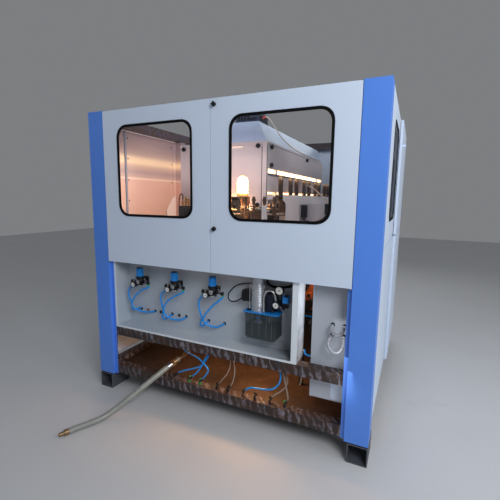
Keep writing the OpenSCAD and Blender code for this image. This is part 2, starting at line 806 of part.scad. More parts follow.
// Air inlet: hex union, straight pipe and the riser to the bed
hose_dir = unit([0.085, 0.16, 0.085]);
union_at = [-half + 735, -half + 210, 340];
module along(p, d) {
    translate(p) rotate([0, acos(d[2]), atan2(d[1], d[0])]) children();
}
module air_pipe() {
    riser = union_at + 320 * hose_dir;
    color("peru") {
        along(union_at, hose_dir) {
            translate([0, 0, -38]) cylinder(r = 13, h = 76, $fn = 32);
            cylinder(r = 22, h = 26, $fn = 6);
            translate([0, 0, 38]) cylinder(r = 17, h = 282, $fn = 32);
        }
        translate([riser[0], riser[1], riser[2] - 20]) cylinder(r = 22, h = 60, $fn = 32);
        translate([riser[0], riser[1], riser[2] + 40])
            cylinder(r = 17, h = bed_z + beam - riser[2] - 40, $fn = 32);
    }
}

// Free air hose on the floor: its route, then the coupling on its end
hose_r = 22.5;
hose_steps = [[-41, -77, 299], [-65, -122, 277], [-89, -167, 254.5], [-119, -224, 223],
    [-151, -284, 188.5], [-185, -348, 151], [-219, -412, 115], [-251, -472, 81],
    [-279, -524, 54], [-301, -566, 36], [-321, -604, 26], [-343, -648, 23], [-367, -696, 22.5],
    [-391, -746, 22.5], [-413, -798, 22.5]];
hose_from = union_at - 38 * hose_dir;
hose_route = concat([hose_from, hose_from - 12 * hose_dir],
    [for (q = hose_steps) [union_at[0] + q[0], union_at[1] + q[1], q[2]]]);
module air_hose() { color("gray") sweep(hose_route, hose_r, 12); }

module hose_fitting() {
    n = len(hose_route);
    d = unit(hose_route[n - 1] - hose_route[n - 2]);
    color("silver") along(hose_route[n - 1] + 0.3 * d, d) {
        cylinder(r = 22, h = 30, $fn = 32);
        translate([0, 0, 30]) cylinder(r = 14, h = 34, $fn = 32);
    }
}

// Bed of beams under a plate
module machine_bed() {
    cross_xs = [clamp_x - beam / 2, oven_left + 40, housing_x - 140];
    color("saddlebrown") {
        ring_at(bed_z);
        for (x = cross_xs) tube_y([x, -inner, bed_z], 2 * inner, beam, beam_t);
        box([1 - inner, -inner + 60, bed_top - bed_t], [housing_x + 60, inner - 1, bed_top]);
    }
}

// Oven frame: posts clear of the two chain wheels, and the rails at the top
right_post_ys = [oven_front + 200, oven_back - 200 - post];
module oven_frame() {
    high = oven_top - bed_top;
    color("dimgray") {
        for (y = [oven_front, oven_back - post]) {
            tube_z([oven_left, y, bed_top], high, post, 2);
            tube_z([oven_right - post, y, wall_low - 50], oven_top - wall_low + 50, post, 2);
            tube_x([oven_left + post + run_gap, y, oven_top - post],
                oven_w - 2 * post - 2 * run_gap, post, 2);
        }
        for (y = right_post_ys)
            tube_z([oven_right - post, y, bed_top], high - post - run_gap, post, 2);
        for (x = [oven_left, oven_right - post])
            tube_y([x, oven_front + post + run_gap, oven_top - post],
                oven_back - oven_front - 2 * post - 2 * run_gap, post, 2);
        tube_z([oven_right - 114, oven_front, bed_top], chain_z - 14 - bed_top, post, 2);
    }
}

// Black diamond knob that faces the front
module diamond(at) {
    translate(at) rotate([90, 0, 0]) {
        cylinder(r = 7, h = 8, $fn = 24);
        translate([0, 0, 8]) rotate([0, 0, 45]) translate([-11, -11, 0]) cube([22, 22, 12]);
    }
}

// Panel of an end of the oven with the arch that the preforms pass through
module arch_panel(y, right) {
    difference() {
        box([oven_left, y, wall_low], [right, y + sheet, oven_top]);
        box([line_l - arch_w / 2, y - 1, wall_low - 1],
            [line_l + arch_w / 2, y + sheet + 1, arch_top - arch_w / 2]);
        translate([line_l, y + sheet + 1, arch_top - arch_w / 2]) rotate([90, 0, 0])
            cylinder(d = arch_w, h = sheet + 2, $fn = fine);
    }
}

module oven_panels() {
    x = oven_right;
    y0 = oven_front;
    y1 = oven_back;
    color("silver") {
        arch_panel(y0 - sheet, x - post - 3);
        arch_panel(y1, x);
        box([x - 129, y0 - sheet, chain_z + 12], [x - post - 3, y0, wall_low - run_gap]);
        box([x - 129, y0 - sheet, chain_z - 150], [x, y0, chain_z - 12]);
        box([x, y0, slot_top], [x + sheet, y1, oven_top]);
        box([x, y0, mid_low], [x + sheet, y1, slot_low]);
        box([oven_left - sheet, y0, wall_low], [oven_left, y1, oven_top]);
        box([oven_left, y0, oven_top], [x, y1, oven_top + sheet]);
    }
    color("black") {
        for (q = [[x - 714, oven_top - 33], [x - 63, oven_top - 34], [x - 63, chain_z + 30]])
            diamond([q[0], y0 - sheet, q[1]]);
        for (q = [[y0 + 68, oven_top - 35], [y0 + 67, slot_top + 27], [y0 + 1021, oven_top - 38]])
            translate([x + sheet, q[0], q[1]]) rotate([0, 0, 90]) diamond([0, 0, 0]);
    }
}

// Hood of folded sheet over the oven, with a small terminal box on top
module hood_outline(d) {
    polygon([[oven_left + 120 + d, 0], [oven_right - 3 - d, 0],
        [oven_right - 69 - d, hood_h - d], [oven_left + 186 + d, hood_h - d]]);
}

module oven_hood() {
    z = oven_top + sheet;
    color("gainsboro") {
        difference() {
            translate([0, oven_back, z]) rotate([90, 0, 0])
                linear_extrude(oven_back - oven_front) hood_outline(0);
            translate([0, oven_back - sheet, z - 0.01]) rotate([90, 0, 0])
                linear_extrude(oven_back - oven_front - 2 * sheet) hood_outline(sheet);
        }
        box([20, oven_front + 40, z + hood_h], [200, oven_front + 240, z + hood_h + 78]);
    }
}

// Reflector behind the lamps on its stands
lamp_y0 = oven_front + 70;
rack_y1 = lamp_y0 + lamp_cols * lamp_step;
reflector_x = lamp_x - 52;
rack_z = lamp_z + (lamp_rows - 1) * lamp_pitch;
module lamp_reflector() {
    color("gold") {
        box([reflector_x - 4, lamp_y0 - 30, lamp_z - 30], [reflector_x, rack_y1, rack_z + 30]);
        for (y = [lamp_y0 + 40, (lamp_y0 + rack_y1) / 2 - 15, rack_y1 - 100])
            tube_z([reflector_x - 34, y, bed_top], rack_z + 20 - bed_top, 30, 2);
    }
}

// End blocks that carry the lamps, and the two plugs of the lamp circuits
module lamp_holders() {
    color("dimgray") {
        for (i = [0:lamp_cols])
            box([reflector_x, lamp_y0 + i * lamp_step - 30, lamp_z - 18],
                [lamp_x + 10, lamp_y0 + i * lamp_step, rack_z + 18]);
        for (y = [oven_front + 70, oven_front + 820])
            box([housing_x, y - 20, chain_z - 60], [housing_x + 34, y + 20, chain_z + 36]);
    }
}

module ir_lamps() {
    color("orange") for (i = [0:lamp_cols - 1], j = [0:lamp_rows - 1])
        translate([lamp_x, lamp_y0 + i * lamp_step + lamp_len, lamp_z + j * lamp_pitch])
            rotate([90, 0, 0]) cylinder(r = lamp_r, h = lamp_len, $fn = 24);
}

// Folded cover over the chain's right run, its lanes, stands and idler column
module conveyor_housing() {
    x = housing_x;
    y0 = oven_front;
    y1 = oven_back;
    t = housing_top;
    mid_y = (y0 + y1) / 2;
    skin = [[x, housing_bottom], [x, t - 63], [x - 66, t], [line_r + 34, t],
        [line_r + 34, t - 2], [x - 67, t - 2], [x - 2, t - 64], [x - 2, housing_bottom]];
    color("burlywood") {
        translate([0, y1, 0]) rotate([90, 0, 0]) linear_extrude(y1 - y0) polygon(skin);
        difference() {
            translate([0, y0 - run_gap, 0]) rotate([90, 0, 0]) linear_extrude(sheet)
                polygon([[oven_right + 6, housing_bottom], [x, housing_bottom], [x, t - 63],
                    [x - 66, t], [oven_right + 6, t]]);
            box([oven_right + 15, y0 - 5, housing_bottom + 50], [x - 100, y0 + 1, t - 73]);
            box([oven_right + 15, y0 - 5, t - 74], [x - 140, y0 + 1, t - 33]);
            translate([x - 140, y0 + 1, t - 73]) rotate([90, 0, 0])
                cylinder(r = 40, h = 6, $fn = fine);
            box([line_r - 30, y0 - 5, t - 60], [line_r + 30, y0 + 1, t + 1]);
            box([oven_right, y0 - 5, chain_z - 12], [oven_right + 16, y0 + 1, chain_z + 12]);
        }
        box([oven_right + 6, y0, t - 2], [line_r - 32, y1, t]);
        box([oven_right + 6, y0, t - 63], [oven_right + 8, y1, t]);
        for (y = right_post_ys) box([oven_right, y, t - 53], [oven_right + 6, y + post, t - 23]);
        for (y = [y0 + 20, mid_y - 30, y1 - 60])
            tube_z([x - 42 - run_gap, y, bed_top], t - 66 - bed_top, 40, 3);
        for (y = [y0 + 70, mid_y + 20, y1 - 200], l = [line_l, line_r])
            tube_z([l - 20, y, bed_top], lane_z - 12 - run_gap - bed_top, 40, 3);
        for (l = [line_l, line_r]) box([l - 14, y0 + 40, lane_z - 12], [l + 14, y1 - 10, lane_z]);
        translate([turn_x, turn_front, bed_top])
            cylinder(r = 20, h = chain_z - 10 - bed_top, $fn = fine);
        translate([turn_x, turn_front, bed_top]) cylinder(r = 12, h = chain_z + 26 - bed_top, $fn = 32);
        translate([turn_x, turn_front, chain_z + 20]) cylinder(r = 18, h = 10, $fn = 6);
    }
}

// Middle of pin k of the closed chain, and the way to pin k + 1
turn_pins = pockets / 2;
loop_pins = 2 * (runs + turn_pins);
function pin_at(q) = let (k = q % loop_pins, n = runs, m = turn_pins)
    k <= n ? [line_l, turn_front + k * pitch] :
    k < n + m ? let (a = 180 - (k - n) * 180 / m)
        [turn_x + sprocket_r * cos(a), turn_back + sprocket_r * sin(a)] :
    k <= 2 * n + m ? [line_r, turn_back - (k - n - m) * pitch] :
    let (a = -(k - 2 * n - m) * 180 / m)
        [turn_x + sprocket_r * cos(a), turn_front + sprocket_r * sin(a)];

// Stands its children on pin k, with X towards pin k + 1
module at_link(k) {
    p = pin_at(k);
    d = pin_at(k + 1) - p;
    translate([p[0], p[1], 0]) rotate([0, 0, atan2(d[1], d[0])]) children();
}

module spindle_chain() {
    pin_r = 6;
    a_low = chain_z - roller_r - link_t;
    b_low = a_low - link_t - 0.3;
    b_high = chain_z + roller_r + link_t + 0.3;
    top = spindle_top;
    color("dimgray") for (k = [0:loop_pins - 1]) at_link(k) {
        if (k % 2 == 0) difference() {
            union() {
                for (z = [a_low, chain_z + roller_r])
                    translate([-roller_r, -9, z]) cube([pitch + 2 * roller_r, 18, link_t]);
                for (x = [0, pitch]) translate([x, 0, a_low])
                    cylinder(r = roller_r, h = 2 * (roller_r + link_t), $fn = 24);
            }
            for (x = [0, pitch]) translate([x, 0, a_low - 1])
                cylinder(r = pin_r + seat, h = 2 * (roller_r + link_t) + 2, $fn = 24);
        } else for (z = [b_low, b_high]) difference() {
            translate([-roller_r, -9, z]) cube([pitch + 2 * roller_r, 18, link_t]);
            for (x = [0, pitch]) translate([x, 0, z - 1])
                cylinder(r = pin_r + seat, h = link_t + 2, $fn = 24);
        }
        rotate_extrude($fn = 24) polygon([[0, b_low], [pin_r, b_low], [pin_r, top - 38],
            [12, top - 38], [12, top - 12], [16, top - 12], [16, top], [10.5, top],
            [10.5, top + 18], [0, top + 18]]);
    }
}

// Preforms, neck down on the spindles of both runs
preform_pins = [for (k = [0:loop_pins - 1]) if ((k % 5 == 0 || k % 5 == 2) && (k <= runs
    || (k >= runs + turn_pins && k <= 2 * runs + turn_pins))) k];
module preforms() {
    r = preform_d / 2;
    color("peru") for (k = preform_pins) translate([pin_at(k)[0], pin_at(k)[1], spindle_top])
        rotate_extrude($fn = fine) polygon([[11, 0], [r - 1, 0], [r - 1, 22], [r, 24],
            [r, preform_l - 12], [r - 4, preform_l - 4], [r - 11, preform_l], [0, preform_l],
            [0, preform_l - 6], [11, preform_l - 14]]);
}

// Wheel that the chain runs round; it has a smooth rim and six round holes
module chain_wheel(bore) {
    difference() {
        union() {
            translate([0, 0, chain_z - wheel_t / 2]) cylinder(r = wheel_r, h = wheel_t, $fn = 96);
            translate([0, 0, chain_z - 9.7]) cylinder(r = 25, h = 24, $fn = fine);
        }
        for (a = [0:60:300]) rotate([0, 0, a]) translate([0.58 * wheel_r, 0, chain_z - 10])
            cylinder(r = 24, h = 20, $fn = fine);
        translate([0, 0, chain_z - 30]) cylinder(r = bore, h = 60, $fn = 32);
    }
}

module drive_wheel() {
    color("silver") translate([turn_x, turn_back, 0]) {
        chain_wheel(12);
        translate([0, 0, chain_z - 150]) cylinder(r = 12, h = 170, $fn = 32);
    }
}

module idler_wheel() {
    color("silver") translate([turn_x, turn_front, 0]) chain_wheel(12 + seat);
}

// Gear box with its motor, on a stand under the rear wheel
module conveyor_gearmotor() {
    z = chain_z - 190;
    color("royalblue") translate([turn_x, turn_back, 0]) {
        difference() {
            translate([-80, -80, z]) cube([160, 160, 120]);
            translate([0, 0, z + 30]) cylinder(r = 12 + seat, h = 92, $fn = 32);
        }
        translate([-290, 0, z + 60]) rotate([0, 90, 0]) cylinder(r = 55, h = 210, $fn = fine);
        tube_z([-60, -60, bed_top], z - bed_top, 120, 6);
    }
}

// Blow station: end plates, tie bars, cylinders, columns, bridge and crown
module clamp_frame() {
    low = bed_top;
    high = platen_z + platen_h;
    w = platen_w / 2;
    color("dimgray") difference() {
        union() {
            for (y = [clamp_front, clamp_back - plate_t]) {
                box([clamp_x - w, y, low], [clamp_x + w, y + plate_t, high]);
                box([clamp_x - w, y - 25, low], [clamp_x + w, y + plate_t + 25, low + 15]);
            }
            for (x = [-tie_dx, tie_dx], z = [-tie_dz, tie_dz])
                translate([clamp_x + x, clamp_back - plate_t, plate_mid + z]) rotate([90, 0, 0])
                    cylinder(r = tie_r, h = clamp_back - clamp_front - 2 * plate_t, $fn = 32);
            for (y = [clamp_front + plate_t, clamp_back - plate_t - 160])
                translate([clamp_x, y + 160, plate_mid]) rotate([90, 0, 0])
                    cylinder(r = 50, h = 160, $fn = fine);
            for (x = [-guide_dx, guide_dx]) translate([clamp_x + x, clamp_y, low])
                cylinder(r = guide_r, h = crown_z + 25 - low, $fn = 32);
            box([clamp_x - guide_dx - 17, clamp_y - 70, bridge_z],
                [clamp_x + guide_dx + 17, clamp_y + 70, bridge_z + 25]);
            box([clamp_x - guide_dx - 17, clamp_y - 70, crown_z],
                [clamp_x + guide_dx + 17, clamp_y + 70, crown_z + 25]);
            for (x = [-1, 1]) translate([clamp_x + x * cavity_pitch / 2, clamp_y, bridge_z - 70])
                cylinder(r = 22, h = 70, $fn = fine);
            translate([clamp_x, clamp_y, crown_z + 25]) cylinder(r = 34, h = 160, $fn = fine);
        }
        for (m = [0, 1]) translate([clamp_x, (clamp_front + clamp_back) / 2, plate_mid])
            mirror([0, m, 0]) rotate([90, 0, 0]) {
                far = (clamp_back - clamp_front) / 2 - plate_t;
                translate([0, 0, far - 150]) cylinder(r = 40, h = 144, $fn = fine);
                translate([0, 0, far - 170]) cylinder(r = rod_r + seat, h = 40, $fn = 32);
            }
        for (x = [-1, 1]) translate([clamp_x + x * cavity_pitch / 2, clamp_y, bridge_z - 80])
            cylinder(r = 8, h = 120, $fn = 32);
        translate([clamp_x, clamp_y, crown_z - 1]) cylinder(r = 12 + seat, h = 60, $fn = 32);
        translate([clamp_x, clamp_y, crown_z + 35]) cylinder(r = 24, h = 142, $fn = 32);
    }
}

// Half mould with its platen and rod, on the front side of the parting plane
module mould_half() {
    w = platen_w / 2;
    back = mould_d + run_gap / 2;
    color("silver") difference() {
        union() {
            box([-mould_w / 2, -back, mould_z], [mould_w / 2, -run_gap / 2, mould_z + mould_h]);
            box([-w, -back - plate_t, platen_z], [w, -back, platen_z + platen_h]);
            translate([0, -back - plate_t, plate_mid]) rotate([90, 0, 0])
                cylinder(r = rod_r, h = 160, $fn = 32);
            translate([0, -back - plate_t - 140, plate_mid]) rotate([90, 0, 0])
                cylinder(r = 36, h = 20, $fn = fine);
        }
        for (x = [-tie_dx, tie_dx], z = [-tie_dz, tie_dz])
            translate([x, -back - plate_t + 31, plate_mid + z]) rotate([90, 0, 0])
                cylinder(r = tie_r + seat, h = plate_t + 2, $fn = 32);
        for (x = [-cavity_pitch / 2, cavity_pitch / 2]) translate([x, 0, mould_z])
            rotate_extrude($fn = fine) polygon([[0, 24], [34, 24], [35, 26], [35, mould_h - 90],
                [14, mould_h - 50], [14, mould_h + 1], [0, mould_h + 1]]);
    }
}

module mould_front() { translate([clamp_x, clamp_y, 0]) mould_half(); }
module mould_rear() { translate([clamp_x, clamp_y, 0]) mirror([0, 1, 0]) mould_half(); }

// Carriage with the two stretch rods, on the guide columns
module stretch_carriage() {
    color("silver") translate([clamp_x, clamp_y, 0]) difference() {
        union() {
            box([-guide_dx - 17, -32, carriage_z], [guide_dx + 17, 32, carriage_z + 25]);
            for (x = [-cavity_pitch / 2, cavity_pitch / 2]) translate([x, 0, bridge_z - 57])
                cylinder(r = 6, h = carriage_z - bridge_z + 57, $fn = 32);
            translate([0, 0, carriage_z + 25])
                cylinder(r = 12, h = crown_z + 145 - carriage_z, $fn = 32);
        }
        for (x = [-guide_dx, guide_dx]) translate([x, 0, carriage_z - 1])
            cylinder(r = guide_r + seat, h = 27, $fn = 32);
    }
}

feet();
base_rings();
corner_posts();
top_ring();
pillars_front();
pillars_rear();
floor_pan();
front_door_left();
front_door_right();
front_gasket_left();
front_gasket_right();
front_pane_left();
front_pane_right();
latch_upper();
latch_lower();
hinge_pins();
side_panel_right();
side_gasket();
side_pane();
side_panel_left();
side_door_right();
side_door_left();
lower_panels_right();
lower_panels_left();
rear_panels();
utility_tray();
regulator_bodies();
gauges();
regulator_knob_1();
regulator_knob_2();
regulator_knob_3();
regulator_tubes();
pump_tank();
pump_lid();
pump_motor();
pump_valves();
cabinet();
cabinet_conduits();
beam_fittings();
beam_tubes();
air_pipe();
air_hose();
hose_fitting();
machine_bed();
oven_frame();
oven_panels();
oven_hood();
lamp_reflector();
lamp_holders();
ir_lamps();
conveyor_housing();
spindle_chain();
preforms();
drive_wheel();
idler_wheel();
conveyor_gearmotor();
clamp_frame();
mould_front();
mould_rear();
stretch_carriage();
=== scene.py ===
# Stretch blow moulding machine: materials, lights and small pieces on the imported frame.
import bpy
from math import sin, cos, pi, radians
from mathutils import Vector, Matrix


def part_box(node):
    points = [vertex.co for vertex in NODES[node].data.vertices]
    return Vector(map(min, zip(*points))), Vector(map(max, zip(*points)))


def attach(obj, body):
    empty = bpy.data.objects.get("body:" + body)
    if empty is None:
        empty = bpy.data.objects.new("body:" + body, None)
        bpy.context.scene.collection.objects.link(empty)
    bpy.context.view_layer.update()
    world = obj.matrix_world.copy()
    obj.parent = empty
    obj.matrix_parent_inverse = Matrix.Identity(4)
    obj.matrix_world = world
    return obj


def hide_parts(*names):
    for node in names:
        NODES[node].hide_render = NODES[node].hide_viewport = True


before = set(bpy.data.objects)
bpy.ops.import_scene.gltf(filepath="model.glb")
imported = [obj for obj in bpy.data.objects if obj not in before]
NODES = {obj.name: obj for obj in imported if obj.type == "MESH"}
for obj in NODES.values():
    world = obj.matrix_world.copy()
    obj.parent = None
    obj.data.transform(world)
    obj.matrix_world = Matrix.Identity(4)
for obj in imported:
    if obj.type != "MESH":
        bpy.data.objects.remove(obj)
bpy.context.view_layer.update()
scene = bpy.context.scene
# Sizes and places of pieces are in millimetres, and MM turns them into metres
MM = 0.001
UP, FRONT, SIDE = Vector((0, 0, 1)), Vector((0, -1, 0)), Vector((1, 0, 0))
# Regulators, tray wall with its tube holes, elbow fittings on the lower beam, cabinet front
REG_X, REG_Y = (-750, -398, -46), -1036
PORT = 85
WALL_Y, HOLE_Z = -953, 705
FITTING_X, FITTING_Y, FITTING_Z = (-372, -238, -142, 10, 108, 235, 332, 450, 562), -1074, 220
CABINET_Y = -1020
# Pump lid, top of the machine bed, axis of the chain's front turn
LID = 878
BED_TOP = 1277
TURN_X, TURN_Y = 249.2, -810


# Materials
def new_mat(name):
    m = bpy.data.materials.new(name)
    m.use_nodes = True
    t = m.node_tree
    return m, t, t.nodes["Principled BSDF"]


def link(t, a, b):
    t.links.new(a, b)


def place(t):
    return t.nodes.new("ShaderNodeTexCoord").outputs["Object"]


def axes(t):
    s = t.nodes.new("ShaderNodeSeparateXYZ")
    link(t, place(t), s.inputs["Vector"])
    return s.outputs


def put(node, values):
    for socket, value in values.items():
        node.inputs[socket].default_value = value


def coords(t, scale=(1, 1, 1), rot=(0, 0, 0)):
    mp = t.nodes.new("ShaderNodeMapping")
    put(mp, {"Scale": scale, "Rotation": rot})
    link(t, place(t), mp.inputs["Vector"])
    return mp.outputs["Vector"]


def between(t, out, lo, hi):
    """0 at lo and 1 at hi, and no further on either side."""
    mr = t.nodes.new("ShaderNodeMapRange")
    put(mr, {"From Min": lo, "From Max": hi})
    link(t, out, mr.inputs["Value"])
    return mr.outputs["Result"]


def mixed(t, fac, a, col):
    mx = t.nodes.new("ShaderNodeMix")
    mx.data_type = "RGBA"
    link(t, fac, mx.inputs["Factor"])
    link(t, a, mx.inputs["A"])
    mx.inputs["B"].default_value = (*col, 1)
    return mx.outputs["Result"]


def product(t, a, b):
    k = t.nodes.new("ShaderNodeMath")
    k.operation = "MULTIPLY"
    link(t, a, k.inputs[0])
    link(t, b, k.inputs[1])
    return k.outputs["Value"]


def painted(m):
    """Node tree, shader and present base colour of a finished material."""
    t = m.node_tree
    b = t.nodes["Principled BSDF"]
    return t, b, b.inputs["Base Color"].links[0].from_socket


def noise(t, vec, scale, detail=4.0, rough=0.55, dist=0.0):
    n = t.nodes.new("ShaderNodeTexNoise")
    put(n, {"Scale": scale, "Detail": detail, "Roughness": rough, "Distortion": dist})
    link(t, vec, n.inputs["Vector"])
    return n.outputs["Fac"]


def ramp(t, fac, stops):
    r = t.nodes.new("ShaderNodeValToRGB")
    e = r.color_ramp.elements
    while len(e) < len(stops):
        e.new(0.5)
    for k, (p, c) in enumerate(stops):
        e[k].position = p
        e[k].color = (*c, 1) if isinstance(c, tuple) else (c, c, c, 1)
    link(t, fac, r.inputs["Fac"])
    return r.outputs["Color"]


def bump(t, b, fac, strength, dist=0.001):
    n = t.nodes.new("ShaderNodeBump")
    put(n, {"Strength": strength, "Distance": dist})
    link(t, fac, n.inputs["Height"])
    link(t, n.outputs["Normal"], b.inputs["Normal"])


def shade(c, f):
    return tuple(min(1.0, x * f) for x in c)


def surface(name, col, rough=0.45, metal=0.0, vary=0.08, grime=None, grime_at=0.66, size=3.0, grain=220.0,
            relief=0.15, stretch=(1, 1, 1), coat=0.0, rough_vary=0.12, spec=0.5):
    """Paint, plastic, rubber or metal: blotches, fine grain and grime in hollows of the noise."""
    m, t, b = new_mat(name)
    v = coords(t, stretch)
    big = noise(t, v, size, 6, 0.6, 0.3)
    g = grime or shade(col, 0.55)
    c = ramp(t, big, [(0.0, shade(col, 1 - vary)), (0.5, col), (grime_at, shade(col, 1 + vary * 0.6)),
                      (min(1.0, grime_at + 0.22), tuple(0.55 * a + 0.45 * q for a, q in zip(col, g)))])
    link(t, c, b.inputs["Base Color"])
    mid = noise(t, v, size * 6, 5, 0.6)
    r = ramp(t, mid, [(0.25, max(0.03, rough - rough_vary)), (0.75, min(1.0, rough + rough_vary))])
    link(t, r, b.inputs["Roughness"])
    put(b, {"Metallic": metal, "Coat Weight": coat, "Coat Roughness": 0.2, "Specular IOR Level": spec})
    if relief:
        bump(t, b, noise(t, v, grain, 3), relief, 0.0006)
    return m


def glass(name, tint, alpha, rough=0.05):
    m, t, b = new_mat(name)
    put(b, {"Roughness": rough, "Metallic": 0.0})
    v = coords(t)
    n = noise(t, v, 2.5, 5, 0.6, 0.4)
    link(t, ramp(t, n, [(0.3, tint), (0.75, shade(tint, 1.15))]), b.inputs["Base Color"])
    link(t, ramp(t, n, [(0.35, alpha), (0.8, alpha * 1.5)]), b.inputs["Alpha"])
    return m


def glow(name, col, strength, base=(0.8, 0.5, 0.2)):
    m, t, b = new_mat(name)
    v = coords(t)
    n = noise(t, v, 30, 3)
    link(t, ramp(t, n, [(0.2, shade(base, 0.85)), (0.8, base)]), b.inputs["Base Color"])
    put(b, {"Emission Color": (*col, 1), "Emission Strength": strength, "Roughness": 0.3})
    return m


WHITE = surface("door_paint", (0.655, 0.76, 0.93), 0.42, vary=0.03, grime=(0.45, 0.47, 0.52), grime_at=0.74,
                size=1.3, relief=0.08, rough_vary=0.06)
# The tray's white paint is given darker than the doors' as painted shade of the recess
TRAY_SHADED = surface("tray_paint_shaded", (0.46, 0.52, 0.59), 0.46, vary=0.07, grime=(0.22, 0.22, 0.24), grime_at=0.66,
               size=2.6, relief=0.08)
CABINET = surface("cabinet_paint", (0.47, 0.51, 0.58), 0.44, vary=0.06, grime=(0.28, 0.28, 0.31),
                  grime_at=0.7, size=2.4, relief=0.1)
BLUE = surface("pillar_paint", (0.092, 0.262, 0.84), 0.4, vary=0.06, grime=(0.08, 0.14, 0.3), grime_at=0.75,
               size=1.6, relief=0.1, rough_vary=0.06)
FOOT = surface("foot_steel", (0.09, 0.10, 0.12), 0.6, 0.2, vary=0.25, grime=(0.18, 0.12, 0.08), size=9,
               relief=0.35)
RUBBER = surface("black_rubber", (0.004, 0.004, 0.005), 0.75, vary=0.2, size=8, relief=0.1, spec=0.12)
BLACK = surface("black_plastic", (0.010, 0.010, 0.013), 0.42, vary=0.2, size=12, relief=0.1, spec=0.3)
STEEL = surface("bright_steel", (0.55, 0.56, 0.58), 0.28, 1.0, vary=0.1, size=14, relief=0.06,
                stretch=(1, 1, 6))
CAST = surface("cast_grey", (0.46, 0.48, 0.51), 0.45, 0.35, vary=0.12, size=18, grain=420, relief=0.3)
MOTOR = surface("motor_paint", (0.54, 0.57, 0.62), 0.34, 0.7, vary=0.12, size=14, grain=420, relief=0.2)
KNOB = surface("blue_knob", (0.006, 0.22, 0.66), 0.3, vary=0.08, size=20, relief=0.08, coat=0.2)
TUBE = surface("blue_tube", (0.010, 0.31, 0.90), 0.25, vary=0.08, size=20, relief=0.02, coat=0.3)
OVEN = surface("oven_sheet", (0.76, 0.69, 0.72), 0.42, 0.08, vary=0.05, grime=(0.50, 0.42, 0.38), size=2.4,
               relief=0.07, stretch=(1, 1, 3))
HOUSING = surface("housing_paint", (0.76, 0.69, 0.72), 0.42, 0.08, vary=0.05, grime=(0.50, 0.42, 0.38),
                  size=2.4)
FILM = surface("hood_film", (0.58, 0.73, 0.98), 0.36, 0.06, vary=0.14, grime=(0.85, 0.85, 0.98), grime_at=0.6,
               size=6, grain=46, relief=0.55, stretch=(1, 2.6, 3), coat=0.25)
DARK = surface("dark_frame", (0.07, 0.065, 0.065), 0.5, 0.6, vary=0.25, grime=(0.2, 0.12, 0.06), size=8,
               relief=0.25)
BRASS = surface("pipe_brass", (0.30, 0.20, 0.11), 0.42, 0.75, vary=0.25, grime=(0.12, 0.08, 0.05), size=16,
                relief=0.3)
HOSE = surface("grey_hose", (0.26, 0.28, 0.26), 0.34, vary=0.2, grime=(0.12, 0.11, 0.09), size=14,
               relief=0.25, coat=0.35)
GREY = surface("grey_plastic", (0.20, 0.21, 0.23), 0.45, vary=0.1, size=14, relief=0.1)
PAN = surface("floor_pan", (0.055, 0.034, 0.025), 0.5, 0.3, vary=0.5, grime=(0.015, 0.012, 0.012),
              grime_at=0.5, size=4, relief=0.35)
BED = surface("bed_paint", (0.12, 0.055, 0.03), 0.42, 0.35, vary=0.4, grime=(0.02, 0.014, 0.012),
              grime_at=0.55, size=3, relief=0.25)
CHAIN = surface("chain_steel", (0.17, 0.11, 0.075), 0.30, 0.9, vary=0.5, grime=(0.02, 0.013, 0.01),
                grime_at=0.5, size=30, relief=0.2)
MIRROR = surface("reflector", (0.92, 0.66, 0.38), 0.2, 0.9, vary=0.1, size=6, relief=0.05)


def liner_mat():
    """Sheet whose colour down its height is painted lamp light: a warm glow, two level bands of painted
    reflection and painted shade towards the top.
    """
    m, t, b = new_mat("liner_sheet")
    warm, dim, glare = (0.72, 0.49, 0.44), (0.42, 0.34, 0.39), (1.0, 0.84, 0.62)
    # Painted lamp light down the height: warm glow, a thin and a broad band of painted reflection, painted
    # shade at the top
    painted_light_band = ramp(t, between(t, axes(t)["Z"], 1.386, 2.258), [
        (0.0, (0.62, 0.42, 0.37)), (0.42, warm), (0.515, (0.74, 0.51, 0.47)), (0.527, (0.95, 0.82, 0.72)),
        (0.545, (0.60, 0.46, 0.46)), (0.60, dim), (0.655, (0.62, 0.48, 0.44)), (0.70, glare),
        (0.735, glare), (0.785, (0.50, 0.385, 0.38)), (0.85, (0.33, 0.265, 0.30)),
        (1.0, (0.25, 0.20, 0.25))])
    n = noise(t, coords(t, (1, 0.4, 6)), 3, 5, 0.6)
    smear = ramp(t, n, [(0.3, 0), (0.8, 0.35)])
    link(t, mixed(t, smear, painted_light_band, (0.60, 0.42, 0.34)), b.inputs["Base Color"])
    link(t, ramp(t, n, [(0.2, 0.26), (0.8, 0.40)]), b.inputs["Roughness"])
    b.inputs["Metallic"].default_value = 0.2
    return m


LINER = liner_mat()
GREEN = surface("green_ring", (0.02, 0.42, 0.12), 0.35, vary=0.1, size=30, relief=0.05)
RED = surface("red_plug", (0.55, 0.03, 0.03), 0.4, vary=0.1, size=30, relief=0.05)
WIRE = surface("white_wire", (0.72, 0.62, 0.54), 0.45, vary=0.1, size=30, relief=0.05)
ALU = surface("mould_aluminium", (0.62, 0.60, 0.58), 0.3, 0.85, vary=0.08, size=7, relief=0.06)
CERAMIC = surface("ceramic", (0.70, 0.60, 0.50), 0.6, vary=0.12, size=20, relief=0.2)
DIAL = surface("dial_white", (0.80, 0.80, 0.78), 0.35, vary=0.03, size=20, relief=0.0)
INK = surface("dial_ink", (0.02, 0.03, 0.06), 0.4, vary=0.1, size=30, relief=0.0)
OIL = surface("green_oil", (0.010, 0.026, 0.022), 0.18, vary=0.4, grime=(0.06, 0.10, 0.09), grime_at=0.6,
              size=9, relief=0.0, stretch=(3.2, 3.2, 0.25), coat=0.3, spec=0.3)
CLEAR = glass("clear_pane", (0.10, 0.11, 0.13), 0.05)
TANK = glass("tank_shell", (0.06, 0.075, 0.085), 0.27, 0.10)
